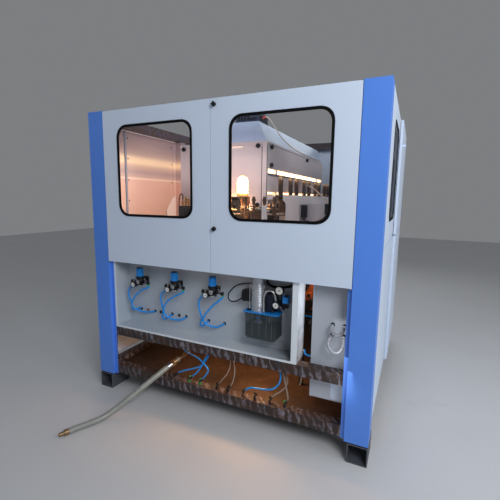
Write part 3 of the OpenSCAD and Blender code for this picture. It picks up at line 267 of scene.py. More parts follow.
TUBE_CLEAR = glass("clear_tube", (0.34, 0.28, 0.24), 0.62, 0.2)
LAMP = glow("lamp_quartz", (1.0, 0.62, 0.24), 14.0)
SLOT_LAMP = glow("slot_lamp", (1.0, 0.80, 0.50), 4.0)
# Glow for thin sheet strips: painted lamp light on sheets that are not lamps
SHEET_GLOW_PAINTED = glow("edge_glow", (1.0, 0.70, 0.38), 2.6, (0.9, 0.7, 0.5))


def wrapped_beam(name, film=(0.27, 0.25, 0.30)):
    """Rusty brown tube under torn packing film, with slanting pale creases whose paleness is painted sheen of
    the film, and bare patches.
    """
    m, t, b = new_mat(name)
    v = coords(t, (1, 1, 0.42), (0, radians(-14), 0))
    w = t.nodes.new("ShaderNodeTexWave")
    w.wave_type = "BANDS"
    w.bands_direction = "DIAGONAL"
    put(w, {"Scale": 9.0, "Distortion": 9.0, "Detail": 5.0, "Detail Scale": 2.6, "Detail Roughness": 0.68})
    link(t, v, w.inputs["Vector"])
    n = noise(t, coords(t), 9, 7, 0.68, 0.6)
    rust = ramp(t, n, [(0.25, (0.018, 0.014, 0.014)), (0.45, (0.06, 0.035, 0.026)),
                       (0.58, (0.035, 0.028, 0.03)), (0.75, (0.12, 0.07, 0.05))])
    film_crease_sheen = ramp(t, w.outputs["Fac"], [(0.0, 0), (0.70, 0.02), (0.80, 0.55), (0.86, 0.06), (0.95, 0.8)])
    patch = ramp(t, noise(t, coords(t, (1, 1, 1.6)), 4.5, 5, 0.62, 0.4), [(0.40, 0.12), (0.56, 1)])
    link(t, mixed(t, product(t, film_crease_sheen, patch), rust, film), b.inputs["Base Color"])
    link(t, ramp(t, film_crease_sheen, [(0.0, 0.5), (0.8, 0.22)]), b.inputs["Roughness"])
    put(b, {"Metallic": 0.1, "Specular IOR Level": 0.35})
    bump(t, b, w.outputs["Fac"], 0.6, 0.0015)
    return m


BEAM = wrapped_beam("wrapped_beam")
# The top ring's copy of the beam has darker creases: painted shade on the top ring
TOP_BEAM_SHADED = wrapped_beam("wrapped_top_beam_shaded", (0.09, 0.085, 0.19))


def preform_mat():
    """Amber plastic, dark below, with a painted golden glow of lamp light near the closed end."""
    m, t, b = new_mat("amber_preform")
    c = ramp(t, between(t, axes(t)["Z"], 1.672, 1.838), [
        (0.0, (0.03, 0.016, 0.012)), (0.6, (0.06, 0.026, 0.014)), (0.86, (0.16, 0.07, 0.025)),
        (0.94, (0.75, 0.42, 0.12)), (1.0, (0.95, 0.70, 0.30))])
    link(t, c, b.inputs["Base Color"])
    put(b, {"Roughness": 0.16, "Coat Weight": 0.5})
    bump(t, b, noise(t, place(t), 90, 3), 0.05)
    return m


PREFORM = preform_mat()


def dress(mat, *names):
    """Give CAD nodes their material."""
    for n in names:
        o = NODES[n]
        if not o.material_slots:
            o.data.materials.append(mat)
        for s in o.material_slots:
            s.link = "OBJECT"
            s.material = mat


dress(FOOT, "feet")
dress(BEAM, "base_rings", "corner_posts")
dress(TOP_BEAM_SHADED, "top_ring")
dress(BED, "machine_bed")
dress(PAN, "floor_pan")
dress(BLUE, "pillars_front", "pillars_rear", "conveyor_gearmotor")
dress(WHITE, "front_door_left", "front_door_right", "side_panel_right", "side_door_right", "side_door_left",
      "lower_panels_right", "lower_panels_left", "rear_panels", "side_panel_left")
dress(CABINET, "cabinet")
dress(TRAY_SHADED, "utility_tray")
dress(RUBBER, "front_gasket_left", "front_gasket_right", "side_gasket")
dress(CLEAR, "front_pane_left", "front_pane_right", "side_pane")
dress(BLACK, "latch_upper", "latch_lower", "beam_fittings", "pump_valves", "gauges", "regulator_bodies")
dress(STEEL, "hinge_pins", "drive_wheel", "idler_wheel", "stretch_carriage")
dress(BRASS, "hose_fitting", "air_pipe")
dress(MOTOR, "pump_motor")
dress(KNOB, "regulator_knob_1", "regulator_knob_2", "regulator_knob_3", "pump_lid")
dress(TUBE, "regulator_tubes", "beam_tubes")
dress(TANK, "pump_tank")
dress(HOSE, "air_hose")
dress(DARK, "clamp_frame")
dress(OVEN, "oven_panels", "oven_frame")
dress(HOUSING, "conveyor_housing")
dress(FILM, "oven_hood")
dress(MIRROR, "lamp_reflector")
dress(GREY, "cabinet_conduits", "lamp_holders")
dress(LAMP, "ir_lamps")
dress(CHAIN, "spindle_chain")
dress(PREFORM, "preforms")
dress(ALU, "mould_front", "mould_rear")


def shade_and_brown_turn(m, top):
    """Darkens what stands under the chain's front turn, up to the given height: partly a heat and oil
    browning, partly painted shade under the turn.
    """
    t, b, old = painted(m)
    at = axes(t)
    corner = product(t, between(t, at["X"], 0.298, 0.296), between(t, at["Y"], -0.55, -0.65))
    shaded_browned = product(t, corner, between(t, at["Z"], top, top - 0.012))
    link(t, mixed(t, shaded_browned, old, (0.10, 0.05, 0.028)), b.inputs["Base Color"])


def shade_and_soil_tray(m):
    """Darkens the tray's inner corner beside the pump, partly an oil-mist stain and partly painted shade of
    the recess; the front edges take a lighter white, painted as lit against the darker, shaded tray paint.
    """
    t, b, old = painted(m)
    at = axes(t)
    # Corner mask: partly an oil-mist stain, partly painted shade of the recess
    corner = product(t, between(t, at["X"], 0.30, 0.62), between(t, at["Z"], 1.15, 0.70))
    blotches = ramp(t, noise(t, place(t), 7, 6, 0.65, 0.8), [(0.3, 0.45), (0.6, 1)])
    shaded_soiled = mixed(t, product(t, corner, blotches), old, (0.13, 0.13, 0.14))
    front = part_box("utility_tray")[0][1]
    # Front faces get a lighter white: painted light on the edges of the shaded tray paint
    edge = mixed(t, between(t, at["Y"], front + 0.004, front + 0.0005), shaded_soiled, (0.74, 0.80, 0.87))
    link(t, edge, b.inputs["Base Color"])


# Painted shade and browning under the turn, on the housing and the oven sheets
shade_and_brown_turn(HOUSING, 9)
shade_and_brown_turn(OVEN, 1.604)
shade_and_soil_tray(TRAY_SHADED)


def circle(u, w, n):
    """n directions round the plane of u and w."""
    return [u * cos(2 * pi * k / n) + w * sin(2 * pi * k / n) for k in range(n)]


# Mesh of one piece: cur is the number of the material that new faces take
class Piece:
    def __init__(self):
        self.v, self.f, self.m, self.cur = [], [], [], 0

    def add(self, vs, fs):
        b = len(self.v)
        self.v += [tuple(Vector(p) * MM) for p in vs]
        self.f += [tuple(i + b for i in f) for f in fs]
        self.m += [self.cur] * len(fs)

    def box(self, lo, hi):
        x0, y0, z0 = lo
        x1, y1, z1 = hi
        self.add([(x0, y0, z0), (x1, y0, z0), (x1, y1, z0), (x0, y1, z0),
                  (x0, y0, z1), (x1, y0, z1), (x1, y1, z1), (x0, y1, z1)],
                 [(0, 3, 2, 1), (4, 5, 6, 7), (0, 1, 5, 4), (1, 2, 6, 5), (2, 3, 7, 6), (3, 0, 4, 7)])

    def loft(self, loops):
        """Skin over loops of equally many points, closed at both ends."""
        n = len(loops[0])
        last = (len(loops) - 1) * n
        fs = [tuple(range(n))[::-1], tuple(range(last, last + n))]
        for i in range(0, last, n):
            for k in range(n):
                k2 = (k + 1) % n
                fs.append((i + k, i + k2, i + n + k2, i + n + k))
        self.add([p for loop in loops for p in loop], fs)

    def slab(self, outline, y0, y1):
        """Upright slab with an outline of (x, z) points between two planes."""
        n = len(outline)
        caps = [tuple(range(n))[::-1], tuple(range(n, 2 * n))]
        sides = [(k, k + n, (k + 1) % n + n, (k + 1) % n) for k in range(n)]
        self.add([(x, y, z) for y in (y0, y1) for x, z in outline], caps + sides)

    def lathe(self, c, axis, prof, n=24):
        """Closed profile of (radius, height) pairs turned about an axis through c."""
        a = Vector(axis).normalized()
        u = a.orthogonal().normalized()
        w = a.cross(u)
        c = Vector(c)
        vs, fs, rows = [], [], []
        for r, h in prof:
            if r < 1e-6:
                rows.append([len(vs)])
                vs.append(c + a * h)
            else:
                rows.append(list(range(len(vs), len(vs) + n)))
                vs += [c + a * h + q * r for q in circle(u, w, n)]
        for p, q in zip(rows, rows[1:]):
            for k in range(n):
                k2 = (k + 1) % n
                if len(p) == 1 and len(q) > 1:
                    fs.append((p[0], q[k], q[k2]))
                elif len(q) == 1 and len(p) > 1:
                    fs.append((p[k], q[0], p[k2]))
                elif len(p) > 1:
                    fs.append((p[k], q[k], q[k2], p[k2]))
        self.add(vs, [tuple(reversed(f)) for f in fs])

    def cyl(self, c, axis, r, h, n=24, chamfer=0.6):
        e = min(chamfer, r * 0.3, h * 0.3)
        self.lathe(c, axis, [(0, 0), (r - e, 0), (r, e), (r, h - e), (r - e, h), (0, h)], n)

    def tube(self, path, r, n=10, ribs=None):
        """Round tube through the points; ribs=(pitch, depth) makes it corrugated."""
        pts = [Vector(p) for p in path]
        if ribs:
            fine = [pts[0]]
            for a, b in zip(pts, pts[1:]):
                k = max(1, int((b - a).length / (ribs[0] / 4)))
                fine += [a.lerp(b, (i + 1) / k) for i in range(k)]
            pts = fine
        loops = []
        u = None
        run = 0.0
        for i, p in enumerate(pts):
            d = (pts[min(i + 1, len(pts) - 1)] - pts[max(i - 1, 0)]).normalized()
            u = d.orthogonal().normalized() if u is None else (u - d * u.dot(d)).normalized()
            if i:
                run += (p - pts[i - 1]).length
            rr = r + (ribs[1] * sin(2 * pi * run / ribs[0]) if ribs else 0)
            loops.append([p + q * rr for q in circle(u, d.cross(u), n)])
        self.loft(loops)

    def pipe(self, points, k, r, n=10, ribs=None):
        """Tube on the smooth curve through the points, with k steps between two of them."""
        self.tube(smooth(points, k), r, n, ribs)

    def done(self, name, mats, body="base", bevel=0.0, sharp=35, replaces=()):
        """Make the object with its materials in its slots, ride it on its body and hide the CAD nodes it
        stands for.
        """
        me = bpy.data.meshes.new(name)
        me.from_pydata(self.v, [], self.f)
        for m in mats if isinstance(mats, (list, tuple)) else [mats]:
            me.materials.append(m)
        for p, k in zip(me.polygons, self.m):
            p.material_index = k
            p.use_smooth = True
        me.update()
        me.set_sharp_from_angle(angle=radians(sharp))
        o = bpy.data.objects.new(name, me)
        scene.collection.objects.link(o)
        if bevel:
            md = o.modifiers.new("edge", "BEVEL")
            md.width = bevel * MM
            md.segments = 2
            md.limit_method = "ANGLE"
            md.angle_limit = radians(40)
        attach(o, body)
        if replaces:
            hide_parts(*replaces)
        return o


def smooth(p, k=4):
    """Catmull-Rom curve through the points, as in the CAD source."""
    out = []
    n = len(p)
    for i in range(n - 1):
        a, b, c, d = (Vector(p[max(i - 1, 0)]), Vector(p[i]), Vector(p[i + 1]), Vector(p[min(i + 2, n - 1)]))
        for j in range(k):
            t = j / k
            out.append(0.5 * (2 * b + (c - a) * t + (2 * a - 5 * b + 4 * c - d) * t * t
                              + (3 * b - a - 3 * c + d) * t ** 3))
    return out + [Vector(p[-1])]


# Camera
cam = bpy.data.cameras.new("camera")
cam.lens = 25.3165
cam.sensor_width = 36.0
cam_o = bpy.data.objects.new("camera", cam)
scene.collection.objects.link(cam_o)
yaw, pitch, roll = 0.43154, -0.14703, 0.013616
forward = Vector((-sin(yaw) * cos(pitch), cos(yaw) * cos(pitch), sin(pitch)))
level = Vector((cos(yaw), sin(yaw), 0))
up = level.cross(forward)
right = cos(roll) * level + sin(roll) * up
top = -sin(roll) * level + cos(roll) * up
pose = Matrix((right, top, -forward)).transposed().to_4x4()
pose.translation = Vector((1.28958, -3.26975, 1.68023))
cam_o.matrix_world = pose
scene.camera = cam_o

# Air hose
away = Vector((0.085, 0.16, 0.085)).normalized()
start = Vector((-405, -930, 340)) - 38 * away
route = [start, start - 12 * away] + [Vector(q) for q in [
    (-446, -1007, 299), (-470, -1052, 277), (-494, -1097, 254.5), (-524, -1154, 223), (-556, -1214, 188.5),
    (-590, -1278, 151), (-624, -1342, 115), (-656, -1402, 81), (-684, -1454, 54), (-706, -1496, 36),
    (-726, -1534, 26), (-748, -1578, 23), (-772, -1626, 22.5), (-796, -1676, 22.5), (-818, -1728, 22.5)]]
path = smooth(route, 4)
hp = Piece()
hp.tube(path, 22.3, 20)
hose = hp.done("hose_run", HOSE, replaces=("air_hose",))
sp = Piece()
ax = (route[2] - route[1]).normalized()
sp.tube([route[1] + 6 * ax, route[1] + 36 * ax], 24.2, 24)
sp.cur = 1
sp.cyl(route[1] + 36 * ax, ax, 31, 24, 6, 2)
sp.cyl(route[1] + 60 * ax, ax, 27.5, 10, 32, 1)
sp.cur = 2
ax2 = (route[3] - route[2]).normalized()
sp.lathe(route[2] - 4 * ax2, ax2, [(22.5, 0), (25.5, 0), (26.2, 8), (26.2, 48), (25.0, 56), (22.5, 56)], 32)
for q in (14, 26, 38):
    sp.lathe(route[2] + q * ax2, ax2, [(26.0, 0), (27.4, 1.5), (27.4, 4.5), (26.0, 6)], 32)
union_brass = surface("union_brass", (0.52, 0.30, 0.13), 0.3, 0.85, vary=0.2, size=18)
sleeve = sp.done("hose_union", [BRASS, union_brass, STEEL])

# Gauges
def dial(p, c, r, needle, col, depth):
    """Round gauge that faces the front: case, bezel, scale and needle, with its stem behind."""
    x, y, z = c
    p.cur = 0
    p.lathe((x, y, z), FRONT, [(0, -depth), (r - 2, -depth), (r, 2 - depth), (r, 2.0), (r - 1.0, 4.6),
                               (r - 3.0, 5.0), (r - 4.2, 3.6), (r - 4.2, 0.4)], 40)
    p.cyl((x, y + depth - 1, z), -FRONT, 7.5, 26, 6)
    p.cur = 1
    p.lathe((x, y, z), FRONT, [(0, 0.6), (r - 4.1, 0.6), (r - 4.1, 0.2)], 40)
    p.cur = 2
    for k in range(11):
        a = radians(225 - 27 * k)
        ca, sa = cos(a), sin(a)
        i, o, w = r - 9.0 if k % 5 == 0 else r - 7.6, r - 5.4, 0.45
        q = [(i, -w), (o, -w), (o, w), (i, w)]
        p.add([(x + ca * u - sa * v, y - 1.0, z + sa * u + ca * v) for u, v in q], [(0, 1, 2, 3)])
    p.cur = col
    a = radians(needle)
    ca, sa = cos(a), sin(a)
    q = [(-0.28 * r, -1.3), (-0.28 * r, 1.3), (0.62 * r, 0.3), (0.62 * r, -0.3)]
    p.add([(x + ca * u - sa * v, y - 1.5, z + sa * u + ca * v) for u, v in q], [(0, 1, 2, 3), (3, 2, 1, 0)])
    p.lathe((x, y, z), FRONT, [(0.14 * r, 1.0), (0.14 * r, 2.2), (0, 2.4)], 16)


p = Piece()
for x, needle in zip(REG_X, (200, 150, 120)):
    dial(p, (x - 35, -1084, 953), 24, needle, 3, 24)
dial(p, (489, -1040, 1048), 31, 210, 2, 26)
dial(p, (468, -1046, 941), 25.5, 225, 2, 24)
p.cyl((489, -1016, 1000), UP, 8, 30, 6)
p.done("gauge_set", [BLACK, DIAL, INK, KNOB], replaces=("gauges",))

# Pump: oil, suction pipe and tank seams
p = Piece()
x0, x1, z0, z1, chamfer = 245, 480, 680, 790, 20
outline = [(x0, z1), (x1, z1), (x1, z0 + chamfer), (x1 - chamfer, z0), (x0 + chamfer, z0), (x0, z0 + chamfer)]
p.loft([[(x, y, z) for x, z in outline] for y in (-1058, -958)])
p.done("pump_oil", OIL, bevel=1)
p = Piece()
p.lathe((322, -1008, 724), UP, [(0, 0), (20, 0), (26, 6), (26, 26), (20, 32), (20, 60), (34, 62), (34, 72),
                                (16, 74), (16, 152), (0, 152)], 28)
p.tube([(404, -1000, 700), (404, -1000, 876)], 7, 14)
p.cur = 1
for x in (296, 351, 405, 446):
    p.box((x, -1060.2, 690), (x + 2.2, -1058.4, 872))
p.done("suction_pipe", [CAST, surface("tank_seam", (0.22, 0.27, 0.26), 0.3, vary=0.2, size=14, relief=0.0)])

# Pump motor: fins and screws, then its plug with the cable
MOTOR_X, MOTOR_Y = 322, -1008
p = Piece()
fin = [(48.6, 0), (54.0, 0.6), (54.6, 2.0), (54.0, 3.4), (48.6, 4)]
for k in range(15):
    p.lathe((MOTOR_X, MOTOR_Y, LID + 42 + k * 11.5), UP, fin, 48)
p.lathe((MOTOR_X, MOTOR_Y, LID + 254), UP, [(52.6, 0), (53.4, 1), (53.4, 3), (52.6, 4)], 48)
p.cur = 1
for k in range(4):
    a = radians(45 + 90 * k)
    p.cyl((MOTOR_X + 47 * cos(a), MOTOR_Y + 47 * sin(a), LID + 205), UP, 3.4, 9, 6)
    p.cyl((MOTOR_X + 45 * cos(a), MOTOR_Y + 45 * sin(a), LID + 8), UP, 3.6, 10, 6)
p.done("motor_fins", [MOTOR, STEEL])

p = Piece()
p.slab([(196, 946), (206, 936), (226, 936), (226, 1020), (206, 1020), (196, 1010)], -1030, -990)
p.box((217, -1027.5, 937), (273, -990.5, 1022.5))
p.cyl((212, -1030, 978), FRONT, 12, 7, 24, 1.5)
p.cur = 1
p.pipe([(262, -990, 1060), (236, -1000, 1064), (194, -1006, 1058), (141, -1006, 1037), (98, -1006, 1000),
        (72, -1006, 955), (84, -1006, 916), (128, -1006, 914), (170, -1010, 936), (200, -1012, 962),
        (206, -1012, 970)], 6, 4.6, 12)
p.cur = 2
p.cyl((188, -1012, 951), (0.62, 0, 0.78), 7, 20, 6)
p.done("motor_cable", [BLACK, RUBBER, BRASS], bevel=1.5)

# Pump: valve blocks, silver pipe and small cable
p = Piece()
p.box((512, -1032, 960), (550, -1021, 1003))
p.box((508, -1016, 958), (552, -984, 1010))
p.cyl((530, -1032, 982), FRONT, 9, 5, 20)
p.cur = 1
p.pipe([(377, -1042, 880), (377, -1042, 940), (377, -1042, 990), (390, -1041, 1024), (415, -1040, 1041),
        (441, -1038, 1035), (457, -1034, 1010), (462, -1030, 974), (462, -1020, 957)], 6, 8.0, 18)
p.cyl((377, -1042, 879), UP, 12.5, 16, 6)
p.cyl((462, -1022, 950), UP, 12.5, 14, 6)
p.tube([(500, -1030, 925), (540, -1056, 886)], 3.6, 12)
p.cyl((494, -1026, 930), (0.7, -0.45, -0.6), 8, 12, 6)
p.cur = 2
p.box((386, -1030, 880), (448, -976, 1012))
p.box((392, -1034, 940), (440, -1030, 1000))
p.cyl((416, -1003, 1012), UP, 15, 12, 24, 2)
p.box((448, -1012, 905), (508, -984, 962))
p.cur = 3
for x, z in ((394, 890), (440, 890), (394, 1004), (440, 1004)):
    p.cyl((x, -1030, z), FRONT, 4, 3.4, 6)
p.pipe([(508, -998, 950), (540, -1000, 958), (590, -990, 968), (600, -975, 975)], 4, 2.6, 8)
p.done("pump_trim", [KNOB, STEEL, surface("valve_black", (0.008, 0.012, 0.03), 0.35, vary=0.3, size=16,
                                          spec=0.35), BRASS], bevel=1.2)

# Cables behind the pump under the recess roof
p = Piece()
p.pipe([(372, -960, 1180), (366, -968, 1110), (388, -972, 1068), (450, -972, 1056), (520, -968, 1066),
        (586, -960, 1092)], 6, 5.0)
p.pipe([(352, -958, 1180), (356, -964, 1088), (420, -966, 1046), (500, -964, 1052), (596, -958, 1078)], 6,
       4.0)
p.done("recess_cables", RUBBER)

# Pump lid: screws and a filler cap
p = Piece()
for x in (240, 482):
    for y in (-1064, -964):
        p.cyl((x, y, 877.8), UP, 4.5, 4, 6)
p.cur = 1
p.lathe((262, -1040, 878), UP, [(0, 0), (13, 0), (13, 9), (11, 11), (6, 11.5), (0, 11.5)], 24)
p.done("lid_screws", [STEEL, BLACK])

# Rounded rubber profiles round the windows
def rubber(name, node, body, axis, out):
    """Closed ring on the gasket's outline: rounded square loops from the outer edge to the inner edge."""
    lo, hi = [Vector(q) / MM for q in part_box(node)]
    ui = 1 if axis == 0 else 0
    cu, cz = (lo[ui] + hi[ui]) / 2, (lo[2] + hi[2]) / 2
    hu, hz = (hi[ui] - lo[ui]) / 2, (hi[2] - lo[2]) / 2
    base = lo[axis] if out < 0 else hi[axis]
    corner, around = 92, 40
    ring = [(-2.5, 0), (-2.5, 1.8), (-0.5, 3.6), (4, 4.6), (9, 4.6), (13.5, 3.6), (15.5, 1.6), (15.5, -6)]
    vs = []
    for d, h in ring:
        r = corner - d
        for q in range(4):
            sx, sz = ((1, 1), (-1, 1), (-1, -1), (1, -1))[q]
            for k in range(10):
                a = radians(90 * q + 10 * k)
                u = cu + sx * (hu - corner) + r * cos(a)
                z = cz + sz * (hz - corner) + r * sin(a)
                w = base + out * h
                vs.append((w, u, z) if axis == 0 else (u, w, z))
    fs = []
    for i in range(len(ring)):
        j = (i + 1) % len(ring)
        for k in range(around):
            k2 = (k + 1) % around
            f = (i * around + k, i * around + k2, j * around + k2, j * around + k)
            fs.append(f if (axis == 0) == (out > 0) else f[::-1])
    g = Piece()
    g.add(vs, fs)
    g.done(name, RUBBER, body=body, sharp=60)


rubber("window_rubber_left", "front_gasket_left", "front_door_left", 1, -1)
rubber("window_rubber_right", "front_gasket_right", "front_door_right", 1, -1)

# Collets and nuts on the elbow fittings
p = Piece()
for k, x in enumerate(FITTING_X):
    d = Vector((-0.296, 0.814, 0.5))
    p.cur = 0 if k in (1, 2, 8) else 2
    p.cyl(Vector((x, FITTING_Y, FITTING_Z + 19)) + d * 20, d, 8.8, 7, 20)
    p.cur = 0 if k in (1, 2) else 1 if k in (0, 5) else 2
    p.cyl((x, FITTING_Y, FITTING_Z), UP, 11, 9, 6)
    p.cyl((x, FITTING_Y, FITTING_Z + 9), UP, 8.6, 7, 20)
p.done("beam_collets", [GREEN, BRASS, BLACK])

# Nuts, collets, caps and screws of the regulators
p = Piece()
for x in REG_X:
    for side in (-1, 1):
        p.cur = 1
        p.cyl((x + side * PORT, REG_Y, 957), UP, 12.5, 20, 6)
        p.cur = 2
        p.cyl((x + side * PORT, REG_Y, 948), UP, 10.5, 8, 20)
        p.cur = 0
        p.cyl((x + side * 0.62 * PORT, REG_Y, 975), (side, 0, 0), 13, 12, 6)
    p.lathe((x, REG_Y, 934), UP, [(0, 0), (20, 0), (27, 5), (27, 14), (20, 17), (0, 17)], 32)
    p.lathe((x, -1066, 975), FRONT, [(0, 0), (19, 0), (19, 3), (15, 6), (0, 6)], 32)
    p.cyl((x, -1072, 975), FRONT, 7, 5, 6)
    for dx in (-17, 17):
        p.cyl((x + dx, -954.5, 1000), FRONT, 4, 5, 6)
        p.cyl((x + dx, -954.5, 942), FRONT, 4, 5, 6)
    p.cyl((x + 52, -1040, 992), (0.35, -0.4, 0.85), 6.5, 34, 6)
    p.cur = 1
    p.lathe((x, REG_Y, 1003), UP, [(29, 0), (36, 1), (37, 5), (36, 9), (29, 10)], 40)
    p.cyl((x + 62, -1050, 1012), (0.35, -0.4, 0.85), 9, 16, 20)
    p.cyl((x + 34, -1052, 958), (0.5, -0.85, 0), 9, 20, 20)
p.done("regulator_trim", [STEEL, BLACK, GREEN], bevel=0.4)

# Caps and grip ribs of the regulator knobs
CAP = surface("knob_cap", (0.004, 0.04, 0.16), 0.4, size=20)
rib = [(26.8, -1.6), (29.2, -1.0), (29.2, 1.0), (26.8, 1.6)]
for number, x in enumerate(REG_X, 1):
    knob = "regulator_knob_%d" % number
    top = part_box(knob)[1][2] / MM
    p = Piece()
    p.cur = 1
    p.lathe((x, REG_Y, top - 0.4), UP, [(0, 0), (27.0, 0), (26.4, 3.5), (23, 5), (0, 5)], 40)
    p.cur = 0
    for a in range(0, 360, 20):
        c, s = cos(radians(a)), sin(radians(a))
        p.loft([[(x + u * c - v * s, REG_Y + u * s + v * c, z) for u, v in rib] for z in (1016, top - 6)])
    p.done("knob_trim_%d" % number, [KNOB, CAP], body=knob, bevel=0.3)

# Blue tubes from the regulators' ports to the holes in the tray wall
REG_WAYS = [
    [(-838, -1036, 925), (-880, -1034, 885), (-889, -1026, 829), (-881, -1006, 758), (-886, -990, 704),
     (-868, -978, 700), (-830, -962, 712), (-819, -956, 710)],
    [(-668, -1036, 930), (-730, -1038, 905), (-797, -1037, 853), (-840, -1034, 800), (-856, -1030, 765),
     (-848, -1020, 728), (-822, -1004, 706), (-770, -984, 692), (-700, -964, 694), (-668, -957, 703)],
    [(-490, -1036, 925), (-536, -1034, 887), (-545, -1022, 819), (-543, -1006, 755), (-557, -992, 672),
     (-536, -980, 668), (-500, -964, 692), (-488, -956, 704)],
    [(-318, -1036, 932), (-422, -1038, 878), (-493, -1036, 815), (-519, -1028, 753), (-508, -1010, 706),
     (-463, -992, 678), (-399, -974, 674), (-360, -960, 690), (-347, -956, 703)],
    [(-140, -1036, 925), (-170, -1034, 883), (-172, -1024, 811), (-166, -1004, 735), (-188, -990, 680),
     (-172, -980, 664), (-142, -962, 690), (-132, -956, 704)],
    [(32, -1036, 930), (-44, -1038, 864), (-112, -1036, 785), (-138, -1026, 731), (-116, -1008, 694),
     (-56, -984, 674), (-8, -962, 690), (13, -956, 704)]]
p = Piece()
for k, way in enumerate(REG_WAYS):
    port = Vector((REG_X[k // 2] + (-PORT, PORT)[k % 2], REG_Y, 945))
    p.tube([port + 6 * UP] + smooth([port] + way, 6), 7.6, 14)
p.done("regulator_runs", TUBE, replaces=("regulator_tubes",))

# Plugs in the empty holes of the tray wall, and a grommet round each hole
p = Piece()
for x, colour in ((-745, 1), (-609, 0), (-417, 0)):
    p.cur = colour
    p.lathe((x, WALL_Y - 0.5, HOLE_Z), FRONT, [(0, 0), (12, 0), (12, 3), (8, 7), (0, 7)], 24)
p.done("hole_plugs", [BLACK, surface("plug_orange", (0.40, 0.12, 0.03), 0.5, size=16)])
p = Piece()
for x in (-819, -745, -668, -609, -488, -417, -347, -132, 13):
    p.lathe((x, WALL_Y, HOLE_Z), FRONT, [(8.2, 0), (13, 0), (13, 1.5), (11, 3), (8.2, 3)], 28)
p.done("hole_grommets", RUBBER)

# Pump motor: shell, band and tie rods
SHELL_X = 319
p = Piece()
p.lathe((SHELL_X, MOTOR_Y, LID), UP, [(38, 14), (44, 20), (44, 28), (50.5, 36), (50.5, 150), (52, 153),
                                      (52, 164), (50.5, 167), (50.5, 224), (47, 230)], 56)
p.cur = 1
for a in (27, 153, 207, 333):
    c, s = cos(radians(a)), sin(radians(a))
    x, y, shell = SHELL_X + 61 * c, MOTOR_Y + 61 * s, SHELL_X + 44 * c
    p.cyl((x, y, 884), UP, 3.4, 190, 14)
    for z in (892, 1058):
        p.cyl((x, y, z), UP, 7.5, 9, 6)
    for z in (905, 1048):
        p.box((min(x, shell), y - 5, z), (max(x, shell), y + 5, z + 8))
p.done("motor_shell", [MOTOR, STEEL])

# Cabinet: conduits, glands, screws, small panel
# Each loop's left gland, and its way from that gland to the one at RIGHT_X
RIGHT_X = 940
LOOPS = [((863, 862), [(0, -30, 0), (2, -46, -14), (20, -56, -40), (46, -58, -50), (68, -50, -34),
                       (76, -42, -12), (77, -30, 0)]),
         ((863, 792), [(0, -30, 0), (-14, -48, -20), (-14, -58, -56), (16, -62, -92), (56, -60, -88),
                       (80, -50, -44), (77, -30, 0)])]
p = Piece()
for (left, z), way in LOOPS:
    for x in (left, RIGHT_X):
        p.cur = 0
        p.cyl((x, CABINET_Y, z), FRONT, 15, 8, 6, 1.5)
        p.cyl((x, CABINET_Y - 8, z), FRONT, 11, 20, 6, 1.5)
        p.cur = 2
        p.cyl((x, CABINET_Y - 26, z), FRONT, 12, 6, 20, 1.5)
    p.cur = 1
    p.pipe([(left + a, CABINET_Y + b, z + c) for a, b, c in way], 8, 10.6, 14, ribs=(5.2, 0.9))
p.done("conduit_loops", [BLACK, surface("conduit_grey", (0.48, 0.49, 0.53), 0.30, 0.4, vary=0.15, size=20),
                         STEEL], replaces=("cabinet_conduits",))
p = Piece()
p.box((868, -1023, 337), (1030, -1019.5, 461))
p.cur = 1
for x in (876, 1022):
    for z in (345, 453):
        p.cyl((x, -1022.6, z), FRONT, 3.2, 2.4, 16)
for z in (345, 600, 880, 1160):
    p.cyl((731, -1021.6, z), FRONT, 3.2, 2.2, 16)
p.done("cabinet_trim", [WHITE, STEEL], bevel=0.8)

# Chain cover: plugs and wires
def cable(name, pts, r, mat):
    q = Piece()
    q.pipe(pts, 5, r, 8)
    q.done(name, mat)


for k in range(5):
    a = (k - 2) * 15
    cable("plug_wire_%d" % k, [(566, -20 + (k - 2) * 4, 1632), (566, -44 + (k - 2) * 5, 1660),
                               (536, -84 + 0.3 * a, 1698), (470, -62 + 0.6 * a, 1752 + (k % 2) * 6),
                               (392, -36 + 0.9 * a, 1800 + (k % 3) * 6), (334, -30 + 1.2 * a, 1834),
                               (299, -12 + 1.4 * a, 1842)], 4.2, RED if k == 3 else WIRE)
cable("skirt_cable", [(560, -770, 1542), (562, -752, 1530), (561, -700, 1520), (558, -560, 1502),
                      (557, -380, 1494), (557, -180, 1500), (562, -60, 1520), (566, -26, 1540)], 5, BRASS)
p = Piece()
for y in (-770, -20):
    p.cur = 0
    p.box((549.5, y - 21.5, 1544), (585, y + 21.5, 1632))
    for k in range(5):
        p.box((585, y - 19, 1550 + 16 * k), (589, y + 19, 1560 + 16 * k))
    p.box((556, y - 14, 1530), (578, y + 14, 1541))
    p.cur = 1
    for z in (1556, 1620):
        p.cyl((584, y, z), SIDE, 3, 5.5, 12)
p.done("plug_trim", [BLACK, STEEL], bevel=2)
# White cable with a red plug from the hood's box down the slope
cable("hood_cable", [(203, -716, 2272), (216, -700, 2290), (232, -660, 2284), (250, -590, 2238),
                     (262, -520, 2196), (273, -440, 2160), (284, -340, 2134), (294, -210, 2112),
                     (300, -40, 2101), (302, 160, 2098), (302, 420, 2097), (302, 700, 2097)], 5.0, WIRE)
p = Piece()
p.cyl((204, -714, 2274), (0.5, 0.5, 0.6), 9, 24, 16)
p.cur = 1
for x, y in ((28, -792), (192, -792), (28, -608), (192, -608)):
    p.cyl((x, y, 2309.6), UP, 4, 2.4, 16)
for z in (2250, 2292):
    p.cyl((110, -800.2, z), FRONT, 4, 2, 16)
p.done("hood_plug", [RED, STEEL])

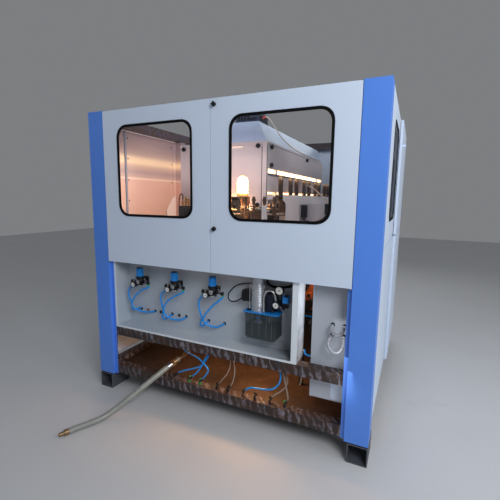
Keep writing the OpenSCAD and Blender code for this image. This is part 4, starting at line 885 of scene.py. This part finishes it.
# Left liner with its seams and screws
p = Piece()
for x0, y0, x1, y1 in ((-1109, -1032, -1107.6, -782), (-1109, -778, -1107.6, -92), (-1109, -88, -1107.6, -42),
                       (-1107.6, -39.6, -1034.2, -38.2), (-1035.6, -38.2, -1034.2, 39)):
    p.box((x0, y0, 1386), (x1, y1, 2258))
p.cur = 1
p.box((-1108.4, -92, 1386), (-1107.2, -88, 2258))
p.box((-1107.8, -792, 1386), (-1102.0, -770, 2258))
p.cur = 2
for y in (-752, -112):
    for z in (1450, 1640, 1830, 2020, 2200):
        p.cyl((-1107.7, y, z), SIDE, 7, 4.5, 6)
for y in range(-980, 0, 240):
    p.cyl((-1107.7, y, 1398), SIDE, 7, 4.5, 6)
p.cur = 3
plate = [(-215, 1388), (-60, 1388), (-60, 1690), (-110, 1670), (-190, 1580), (-215, 1540)]
p.loft([[(x, y, z) for y, z in plate] for x in (-1104, -1096)])
p.done("left_liner", [LINER, surface("seam_sheet", (0.20, 0.24, 0.34), 0.35, 0.3, size=6), BLACK, OVEN],
       bevel=0.4)

# Oven: corner angle, front strips, screws, side rails and the dark panel behind the chain cover
p = Piece()
p.box((261.5, -845.5, 1626), (300, -840.4, 2066))
p.cur = 2
p.box((256.5, -845.2, 1626), (261.4, -842.6, 2052))
p.cur = 0
p.box((296.4, -845.5, 1626), (300, -822, 2066))
p.box((-462, -845.5, 2066), (300, -842.6, 2090))
p.cur = 1
for z in (1660, 1780, 1900, 2020):
    p.cyl((284, -845.5, z), FRONT, 3.0, 2, 12)
p.box((296, -838, 2070), (299, 850, 2073))
p.box((296.2, -840, 1848), (298, 850, 1865))
p.cur = 3
p.box((246, -640, 1560), (249, 845, 1704))
for y in range(-600, 840, 180):
    p.box((249, y, 1566), (256, y + 26, 1640))
p.done("oven_trim", [OVEN, STEEL, BLACK, DARK], bevel=0.6)

# Black knobs on the diamond stubs of the oven sheets
p = Piece()
for at, out in (((-420, -842, 2057), FRONT), ((231, -842, 2056), FRONT), ((231, -842, 1630), FRONT),
                ((296, -772, 2055), SIDE), ((296, -773, 1923), SIDE), ((296, 181, 2052), SIDE)):
    stub = Vector(at)
    across = SIDE if out == FRONT else -FRONT
    p.lathe(stub, out, [(7.4, 0.2), (13, 0.2), (13, 2.5), (7.4, 3.0)], 24)
    corners = [q * (1 if k % 2 == 0 else 0.86) for k, q in enumerate(circle(across, UP, 8))]
    p.loft([[stub + out * h + q * r for q in corners] for h, r in (
        (7.4, 17.4), (8.6, 18.6), (19.4, 18.6), (20.8, 17.0))])
p.done("oven_knobs", BLACK, bevel=0.8)

# Upper reflector and lamps
p = Piece()
p.box((-52, -782, 1858), (246, 845, 1861))
p.box((246.5, -832, 1846), (249.5, 848, 1906))
p.done("inner_reflector", MIRROR)
p = Piece()
for z in (1864, 1886):
    p.cyl((268, -806, z), -FRONT, 9.5, 1640, 16)
p.cur = 1
for y in (-818, 834):
    p.box((256, y, 1851), (280, y + 12, 1899))
# Two thin sheet strips with painted glow of lamp light; they are not lamps
p.cur = 2
p.box((250, -830, 1848), (252, 848, 1904))
p.box((262, -836, 1711), (264.5, 850, 1726.5))
p.done("upper_lamps", [SLOT_LAMP, CERAMIC, SHEET_GLOW_PAINTED])
# Terminal box on the hood
p = Piece()
p.box((18.5, -801.5, 2234), (201.5, -598.5, 2312))
p.cur = 1
for x in (40, 66, 92, 118):
    p.box((x, -806, 2252), (x + 16, -801.5, 2290))
for x in (150, 178):
    p.cyl((x, -801.5, 2262), FRONT, 9, 9, 24, 1)
for y in (-770, -730, -690, -650):
    p.box((201.5, y, 2250), (205, y + 22, 2292))
p.done("terminal_cover", [surface("terminal_box", (0.035, 0.045, 0.08), 0.4, vary=0.15, size=9), BLACK],
       bevel=2)

# White caps on the ends of the lamps
p = Piece()
for i in range(3):
    for j in range(6):
        for end, out in ((-770, 1), (-270, -1)):
            p.cyl((-8, end + i * 530 + out, 1725 + 24 * j), (0, out, 0), 7.6, 18, 12)
p.done("lamp_caps", CERAMIC)

# Preforms with their neck rings, closed end up
# Each spot sums x and y of the vertices near it and keeps their lowest z, highest z and number
NEAR = 0.024
spots = []
for v in NODES["preforms"].data.vertices:
    for q in spots:
        if abs(q[0] / q[4] - v.co.x) < NEAR and abs(q[1] / q[4] - v.co.y) < NEAR:
            q[0] += v.co.x
            q[1] += v.co.y
            q[2], q[3], q[4] = min(q[2], v.co.z), max(q[3], v.co.z), q[4] + 1
            break
    else:
        spots.append([v.co.x, v.co.y, v.co.z, v.co.z, 1])
WIDER = 1.38
p = Piece()
for sx, sy, z0, z1, m in spots:
    x, y, z0, z1 = sx / m / MM, sy / m / MM, z0 / MM, z1 / MM
    if y < -800 and x < 150:
        continue
    h = z1 - z0
    prof = [(0, 0), (10.5, 0), (12.4, 1.0), (12.4, 3)]
    for k in range(3):
        prof += [(12.4, 4 + 3.4 * k), (13.8, 5 + 3.4 * k), (12.4, 6.2 + 3.4 * k)]
    prof += [(12.4, 17), (16.2, 18), (16.2, 20), (12.6, 21), (12.6, 26), (13.0, 40), (13.0, h * 0.78),
             (12.4, h - 13)]
    prof += [(12.4 * cos(radians(a)), h - 15 + 15 * sin(radians(a))) for a in (15, 35, 55, 75)] + [(0, h)]
    p.lathe((x, y, z0), UP, [(WIDER * r, q) for r, q in prof], 18)
p.done("preform_set", PREFORM, sharp=50, replaces=("preforms",))

# Stop with its air cylinder beside the chain's front turn
p = Piece()
p.box((-60, -905, 1545), (70, -850, 1556))
for x in (-60, 40):
    p.box((x, -905, BED_TOP), (x + 20, -885, 1545))
p.box((-44, -880, 1556), (-8, -852, 1612))
p.cur = 1
p.cyl((-90, -866, 1588), SIDE, 13, 120, 24)
p.cyl((30, -866, 1588), SIDE, 6, 38, 16)
p.cyl((-24, -866, 1612), UP, 8, 26, 6)
p.cyl((8, -880, 1556), UP, 9, 34, 6)
p.cur = 2
for x, y in ((-54, -899), (64, -899), (-54, -856), (64, -856)):
    p.cyl((x, y, 1556), UP, 4.5, 5, 6)
p.pipe([(-24, -866, 1638), (-24, -868, 1660), (-50, -876, 1668), (-80, -880, 1640), (-96, -880, 1580),
        (-100, -878, 1500), (-96, -880, 1400), (-92, -884, 1279)], 4, 4.2, 10)
p.done("turn_stop", [DARK, BRASS, STEEL], bevel=1)
# Curved guide round the chain's front turn, on three posts
STEP = 13.6
p = Piece()
for k in range(12):
    a, b = (radians(-165 + i * STEP) for i in (k, k + 1))
    corners = ((166, a), (186, a), (186, b), (166, b))
    p.add([(TURN_X + r * cos(q), TURN_Y + r * sin(q), z) for z in (1556, 1562) for r, q in corners],
          [(3, 2, 1, 0), (4, 5, 6, 7), (0, 1, 5, 4), (2, 3, 7, 6), (1, 2, 6, 5)]
          + ([] if k else [(3, 0, 4, 7)]))
p.cur = 1
for a in (-150, -90, -30):
    a = radians(a)
    p.cyl((TURN_X + 176 * cos(a), TURN_Y + 176 * sin(a), BED_TOP), UP, 8, 279, 16)
p.done("turn_guide", [surface("guide_brass", (0.12, 0.06, 0.03), 0.38, 0.8, vary=0.4, size=14), DARK])

# Tubes on the front beam: number of the fitting, blue or clear, radius,
# and the way from the fitting to the middle beam
BLUE_RUN, CLEAR_RUN = 0, 1
RUNS = [
    (0, BLUE_RUN, 6, [(70, 26, 66), (148, 36, 96), (206, 50, 124), (256, 58, 186), (282, 64, 260)]),
    (1, BLUE_RUN, 6, [(52, 24, 74), (98, 36, 146), (128, 42, 214), (164, 58, 270)]),
    (2, BLUE_RUN, 6, [(36, 19, 66), (66, 20, 122), (24, 22, 166), (-42, 26, 204), (-164, 44, 226),
                      (-204, 58, 270)]),
    (3, CLEAR_RUN, 5.2, [(34, 20, 66), (74, 24, 120), (96, 34, 176), (96, 58, 262)]),
    (4, CLEAR_RUN, 5.2, [(26, 18, 62), (40, 22, 104), (44, 28, 186), (16, 47, 256)]),
    (5, BLUE_RUN, 6.6, [(28, 20, 52), (64, 24, 68), (150, 30, 74), (222, 30, 94), (268, 32, 140),
                        (282, 36, 200), (262, 58, 262)]),
    (7, CLEAR_RUN, 6.6, [(30, 20, 60), (66, 28, 88), (106, 38, 134), (112, 46, 190), (84, 60, 264)]),
    (8, CLEAR_RUN, 6.6, [(20, 18, 62), (8, 20, 116), (-12, 24, 196), (-46, 58, 264)])]
ELBOW = Vector((0.30, 0.81, 0.5)).normalized()
for name, kind, mt, stood_for in (("beam_tubes_blue", BLUE_RUN, TUBE, ("beam_tubes",)),
                                  ("beam_tubes_clear", CLEAR_RUN, TUBE_CLEAR, ())):
    p = Piece()
    for i, run, r, pts in RUNS:
        if run != kind:
            continue
        foot = Vector((FITTING_X[i], FITTING_Y, FITTING_Z))
        out = foot + 19 * UP + 26 * ELBOW
        up = Vector((foot.x + pts[-1][0], foot.y + pts[-1][1] + 3, 585))
        way = [out + 5 * ELBOW] + [foot + Vector(v) for v in pts] + [up - 10 * UP]
        p.tube([out] + smooth(way, 6) + [up], r, 12)
    p.done(name, mt, replaces=stood_for)

# Post in front of the chain's turn, on the bed
p = Piece()
p.box((337, -1019, BED_TOP + 10), (366, -991, 1628))
p.box((322, -1034, BED_TOP), (381, -976, BED_TOP + 10))
p.cur = 1
for x in (329, 374):
    for y in (-1027, -983):
        p.cyl((x, y, BED_TOP + 10), UP, 5.5, 5, 6)
p.done("turn_post", [OVEN, STEEL], bevel=1.2)

# Carrier of the chain's front turn, behind it; its near-black steel is painted shade behind the turn
p = Piece()
p.box((-60, -716, 1278), (408, -702, 1544))
p.box((112, -702, 1520), (408, -640, 1544))
for x in (-60, 112, 254, 394):
    p.box((x, -702, 1278), (x + 14, -600, 1520))
for z in (1330, 1470):
    p.box((130, -734, z), (392, -716, z + 22))
    for x in range(142, 400, 31):
        p.cyl((x, -734, z + 11), FRONT, 8, 7, 6)
p.cur = 1
for x, z in ((160, 1400), (226, 1420), (300, 1392), (360, 1424), (196, 1520), (330, 1520)):
    p.cyl((x, -716, z), FRONT, 15, 16, 24)
    p.cyl((x, -732, z), FRONT, 9, 14, 6)
p.done("turn_carrier", [surface("carrier_steel_shaded", (0.018, 0.010, 0.008), 0.45, 0.3, vary=0.4, size=9),
                        surface("carrier_brass", (0.42, 0.20, 0.08), 0.35, 0.8, vary=0.3, size=20)],
       bevel=1.0)

# Spare tube end below the middle ring
p = Piece()
p.pipe([(640, -1010, 578), (648, -1006, 520), (652, -1002, 470), (657, -1000, 415), (646, -1000, 372)], 6,
       6.6, 12)
p.done("spare_tube", TUBE_CLEAR)
# Air block on two legs beside the oven
p = Piece()
p.box((-430, -922, 1540), (-322, -862, 1610))
for x in (-424, -348):
    p.box((x, -914, BED_TOP), (x + 20, -894, 1540))
p.cyl((-376, -922, 1575), FRONT, 24, 12, 32, 2)
p.cur = 1
for x, h in ((-410, 34), (-382, 60), (-352, 46)):
    p.cyl((x, -892, 1610), UP, 9, h, 6)
    p.cyl((x, -892, 1610 + h), UP, 6, 16, 16)
p.cyl((-382, -892, 1658), SIDE, 8, 34, 6)
p.cyl((-352, -900, 1640), FRONT, 8, 22, 6)
p.cur = 2
p.pipe([(-410, -892, 1656), (-410, -890, 1690), (-432, -884, 1704), (-452, -880, 1670), (-456, -880, 1560),
        (-450, -884, 1400), (-446, -890, 1277)], 5, 4.5, 10)
p.done("air_block", [DARK, surface("fitting_brass", (0.50, 0.29, 0.12), 0.3, 0.85, vary=0.2, size=18), BLACK],
       bevel=1.2)

# Bracket under the bed, behind the gap beside the recess; its orange is painted orange lamp light on a dark
# casting
p = Piece()
p.slab([(640, 1090), (700, 1090), (690, 1030), (660, 970), (640, 930), (600, 905), (566, 905), (556, 925),
        (576, 960), (600, 1000), (624, 1046)], -700, -664)
p.cyl((612, -701, 950), FRONT, 24, 16, 32, 3)
p.cur = 1
p.box((560, -700, 820), (648, -660, 904))
p.cur = 0
p.pipe([(716, -720, 1010), (690, -722, 930), (664, -722, 880), (640, -720, 850)], 4, 9, 12)
p.cur = 1
p.cyl((612, -717, 950), FRONT, 13, 10, 6, 2)
p.box((540, -699, 1000), (572, -664, 1188))
p.box((572, -699, 1096), (716, -672, 1188))
for x, z in ((668, 1064), (650, 1006), (580, 890), (632, 890)):
    p.cyl((x, -700, z), FRONT, 8, 7, 6)
p.box((480, -722, 800), (716, -690, 816))
p.box((480, -722, 764), (716, -706, 776))
p.cur = 2
p.pipe([(716, -714, 782), (640, -716, 786), (560, -714, 790), (480, -700, 800)], 4, 6, 10)
p.pipe([(640, -880, 585), (650, -900, 566), (690, -880, 548), (720, -840, 560), (724, -760, 640),
        (700, -700, 760)], 5, 9, 12)
p.done("bed_bracket", [surface("orange_lit_cast", (0.36, 0.085, 0.018), 0.5, vary=0.3, grime=(0.02, 0.012, 0.01),
                               grime_at=0.5, size=11, relief=0.4), BLACK, TUBE], bevel=2)
# Stand that carries the bracket
p = Piece()
p.box((520, -664, 1150), (720, -600, 1188))
p.box((600, -660, 700), (630, -630, 830))
p.box((540, -664, 180), (570, -634, 830))
p.box((540, -664, 790), (716, -640, 830))
p.done("bed_bracket_stand", DARK, bevel=2)

# Lights, floor and world
def area(name, loc, to, size, power, col=(1, 1, 1), size_y=None):
    """Lamp panel at loc that faces to; size_y is its height where it isn't square."""
    l = bpy.data.lights.new(name, "AREA")
    l.energy = power
    l.color = col
    l.size = size
    if size_y:
        l.shape = "RECTANGLE"
        l.size_y = size_y
    o = bpy.data.objects.new(name, l)
    o.location = loc
    o.rotation_euler = (Vector(to) - Vector(loc)).to_track_quat("-Z", "Y").to_euler()
    o.visible_camera = False
    scene.collection.objects.link(o)


area("key", (3.0, -3.6, 3.4), (0.5, -1.0, 1.5), 1.7, 98, (0.97, 0.985, 1.0))
area("left", (-4.2, -3.0, 3.6), (0, 0, 1.2), 2.5, 4, (0.94, 0.97, 1.0))
area("right", (4.6, -1.2, 3.0), (1, -0.3, 1.2), 2.5, 58, (0.95, 0.97, 1.0))
area("back", (0, 4.6, 3.8), (0, 1, 1.2), 3.0, 28)
# Warm light of the oven, inside the enclosure
area("oven_face", (0.02, -0.55, 1.80), (0.5, -0.55, 1.80), 0.1, 10, (1.0, 0.60, 0.28), 0.5)
area("oven_left", (-0.47, -0.35, 1.80), (-1.1, -0.35, 1.74), 0.5, 5.6, (1.0, 0.72, 0.54), 0.7)
area("oven_top", (-0.1, -0.2, 2.06), (-0.1, -0.2, 1.2), 0.4, 6, (1.0, 0.7, 0.4), 1.3)
area("oven_front", (-0.14, -1.06, 1.90), (-0.14, -0.84, 1.96), 1.0, 0.58, (1.0, 0.73, 0.68), 0.22)
area("cab_fill", (0.95, -1.13, 0.66), (0.94, -1.02, 0.62), 0.14, 0.16, (0.95, 0.98, 1.0), 0.5)
area("gap_light", (0.719, -1.03, 0.86), (0.649, -1.03, 0.86), 0.12, 0.5, (0.96, 0.98, 1.0), 0.56)
area("hood_light", (-0.14, -1.02, 2.50), (-0.14, -0.86, 2.16), 1.0, 1.25, (0.74, 0.86, 1.0), 0.16)
area("lamp_spill", (0.06, -0.93, 1.70), (0.06, -0.895, 1.60), 0.16, 0.16, (1.0, 0.55, 0.24), 0.05)
area("arch_light", (-0.02, -0.93, 1.63), (-0.02, -0.84, 1.72), 0.34, 0.6, (1.0, 0.40, 0.14), 0.08)
area("bed_glow", (-0.05, -0.93, 1.62), (0.0, -0.96, 1.28), 0.35, 3, (1.0, 0.62, 0.30), 0.12)
area("low_glow", (0.75, -0.6, 1.10), (0.65, -0.9, 0.2), 0.25, 3.2, (1.0, 0.50, 0.20), 0.5)
area("pan_glow", (0.20, -0.72, 0.66), (0.22, -0.80, 0.2), 0.16, 4.5, (1.0, 0.48, 0.18), 0.12)
area("pan_glow_left", (-0.42, -0.60, 0.66), (-0.40, -0.66, 0.2), 0.2, 1.6, (1.0, 0.50, 0.22), 0.12)

world = bpy.data.worlds.new("world")
world.use_nodes = True
background = world.node_tree.nodes["Background"]
put(background, {"Color": (0.93, 0.96, 1.0, 1), "Strength": 0.22})
scene.world = world

floor_mesh = bpy.data.meshes.new("floor")
far = 14
floor_mesh.from_pydata([(-far, -far, 0), (far, -far, 0), (far, far, 0), (-far, far, 0)], [], [(0, 1, 2, 3)])
floor_mesh.materials.append(surface("pale_floor", (0.62, 0.63, 0.65), 0.6, vary=0.03, size=1, relief=0.0))
floor = bpy.data.objects.new("floor", floor_mesh)
floor.location.z = -0.0005
scene.collection.objects.link(floor)
scene.view_settings.view_transform = "Standard"
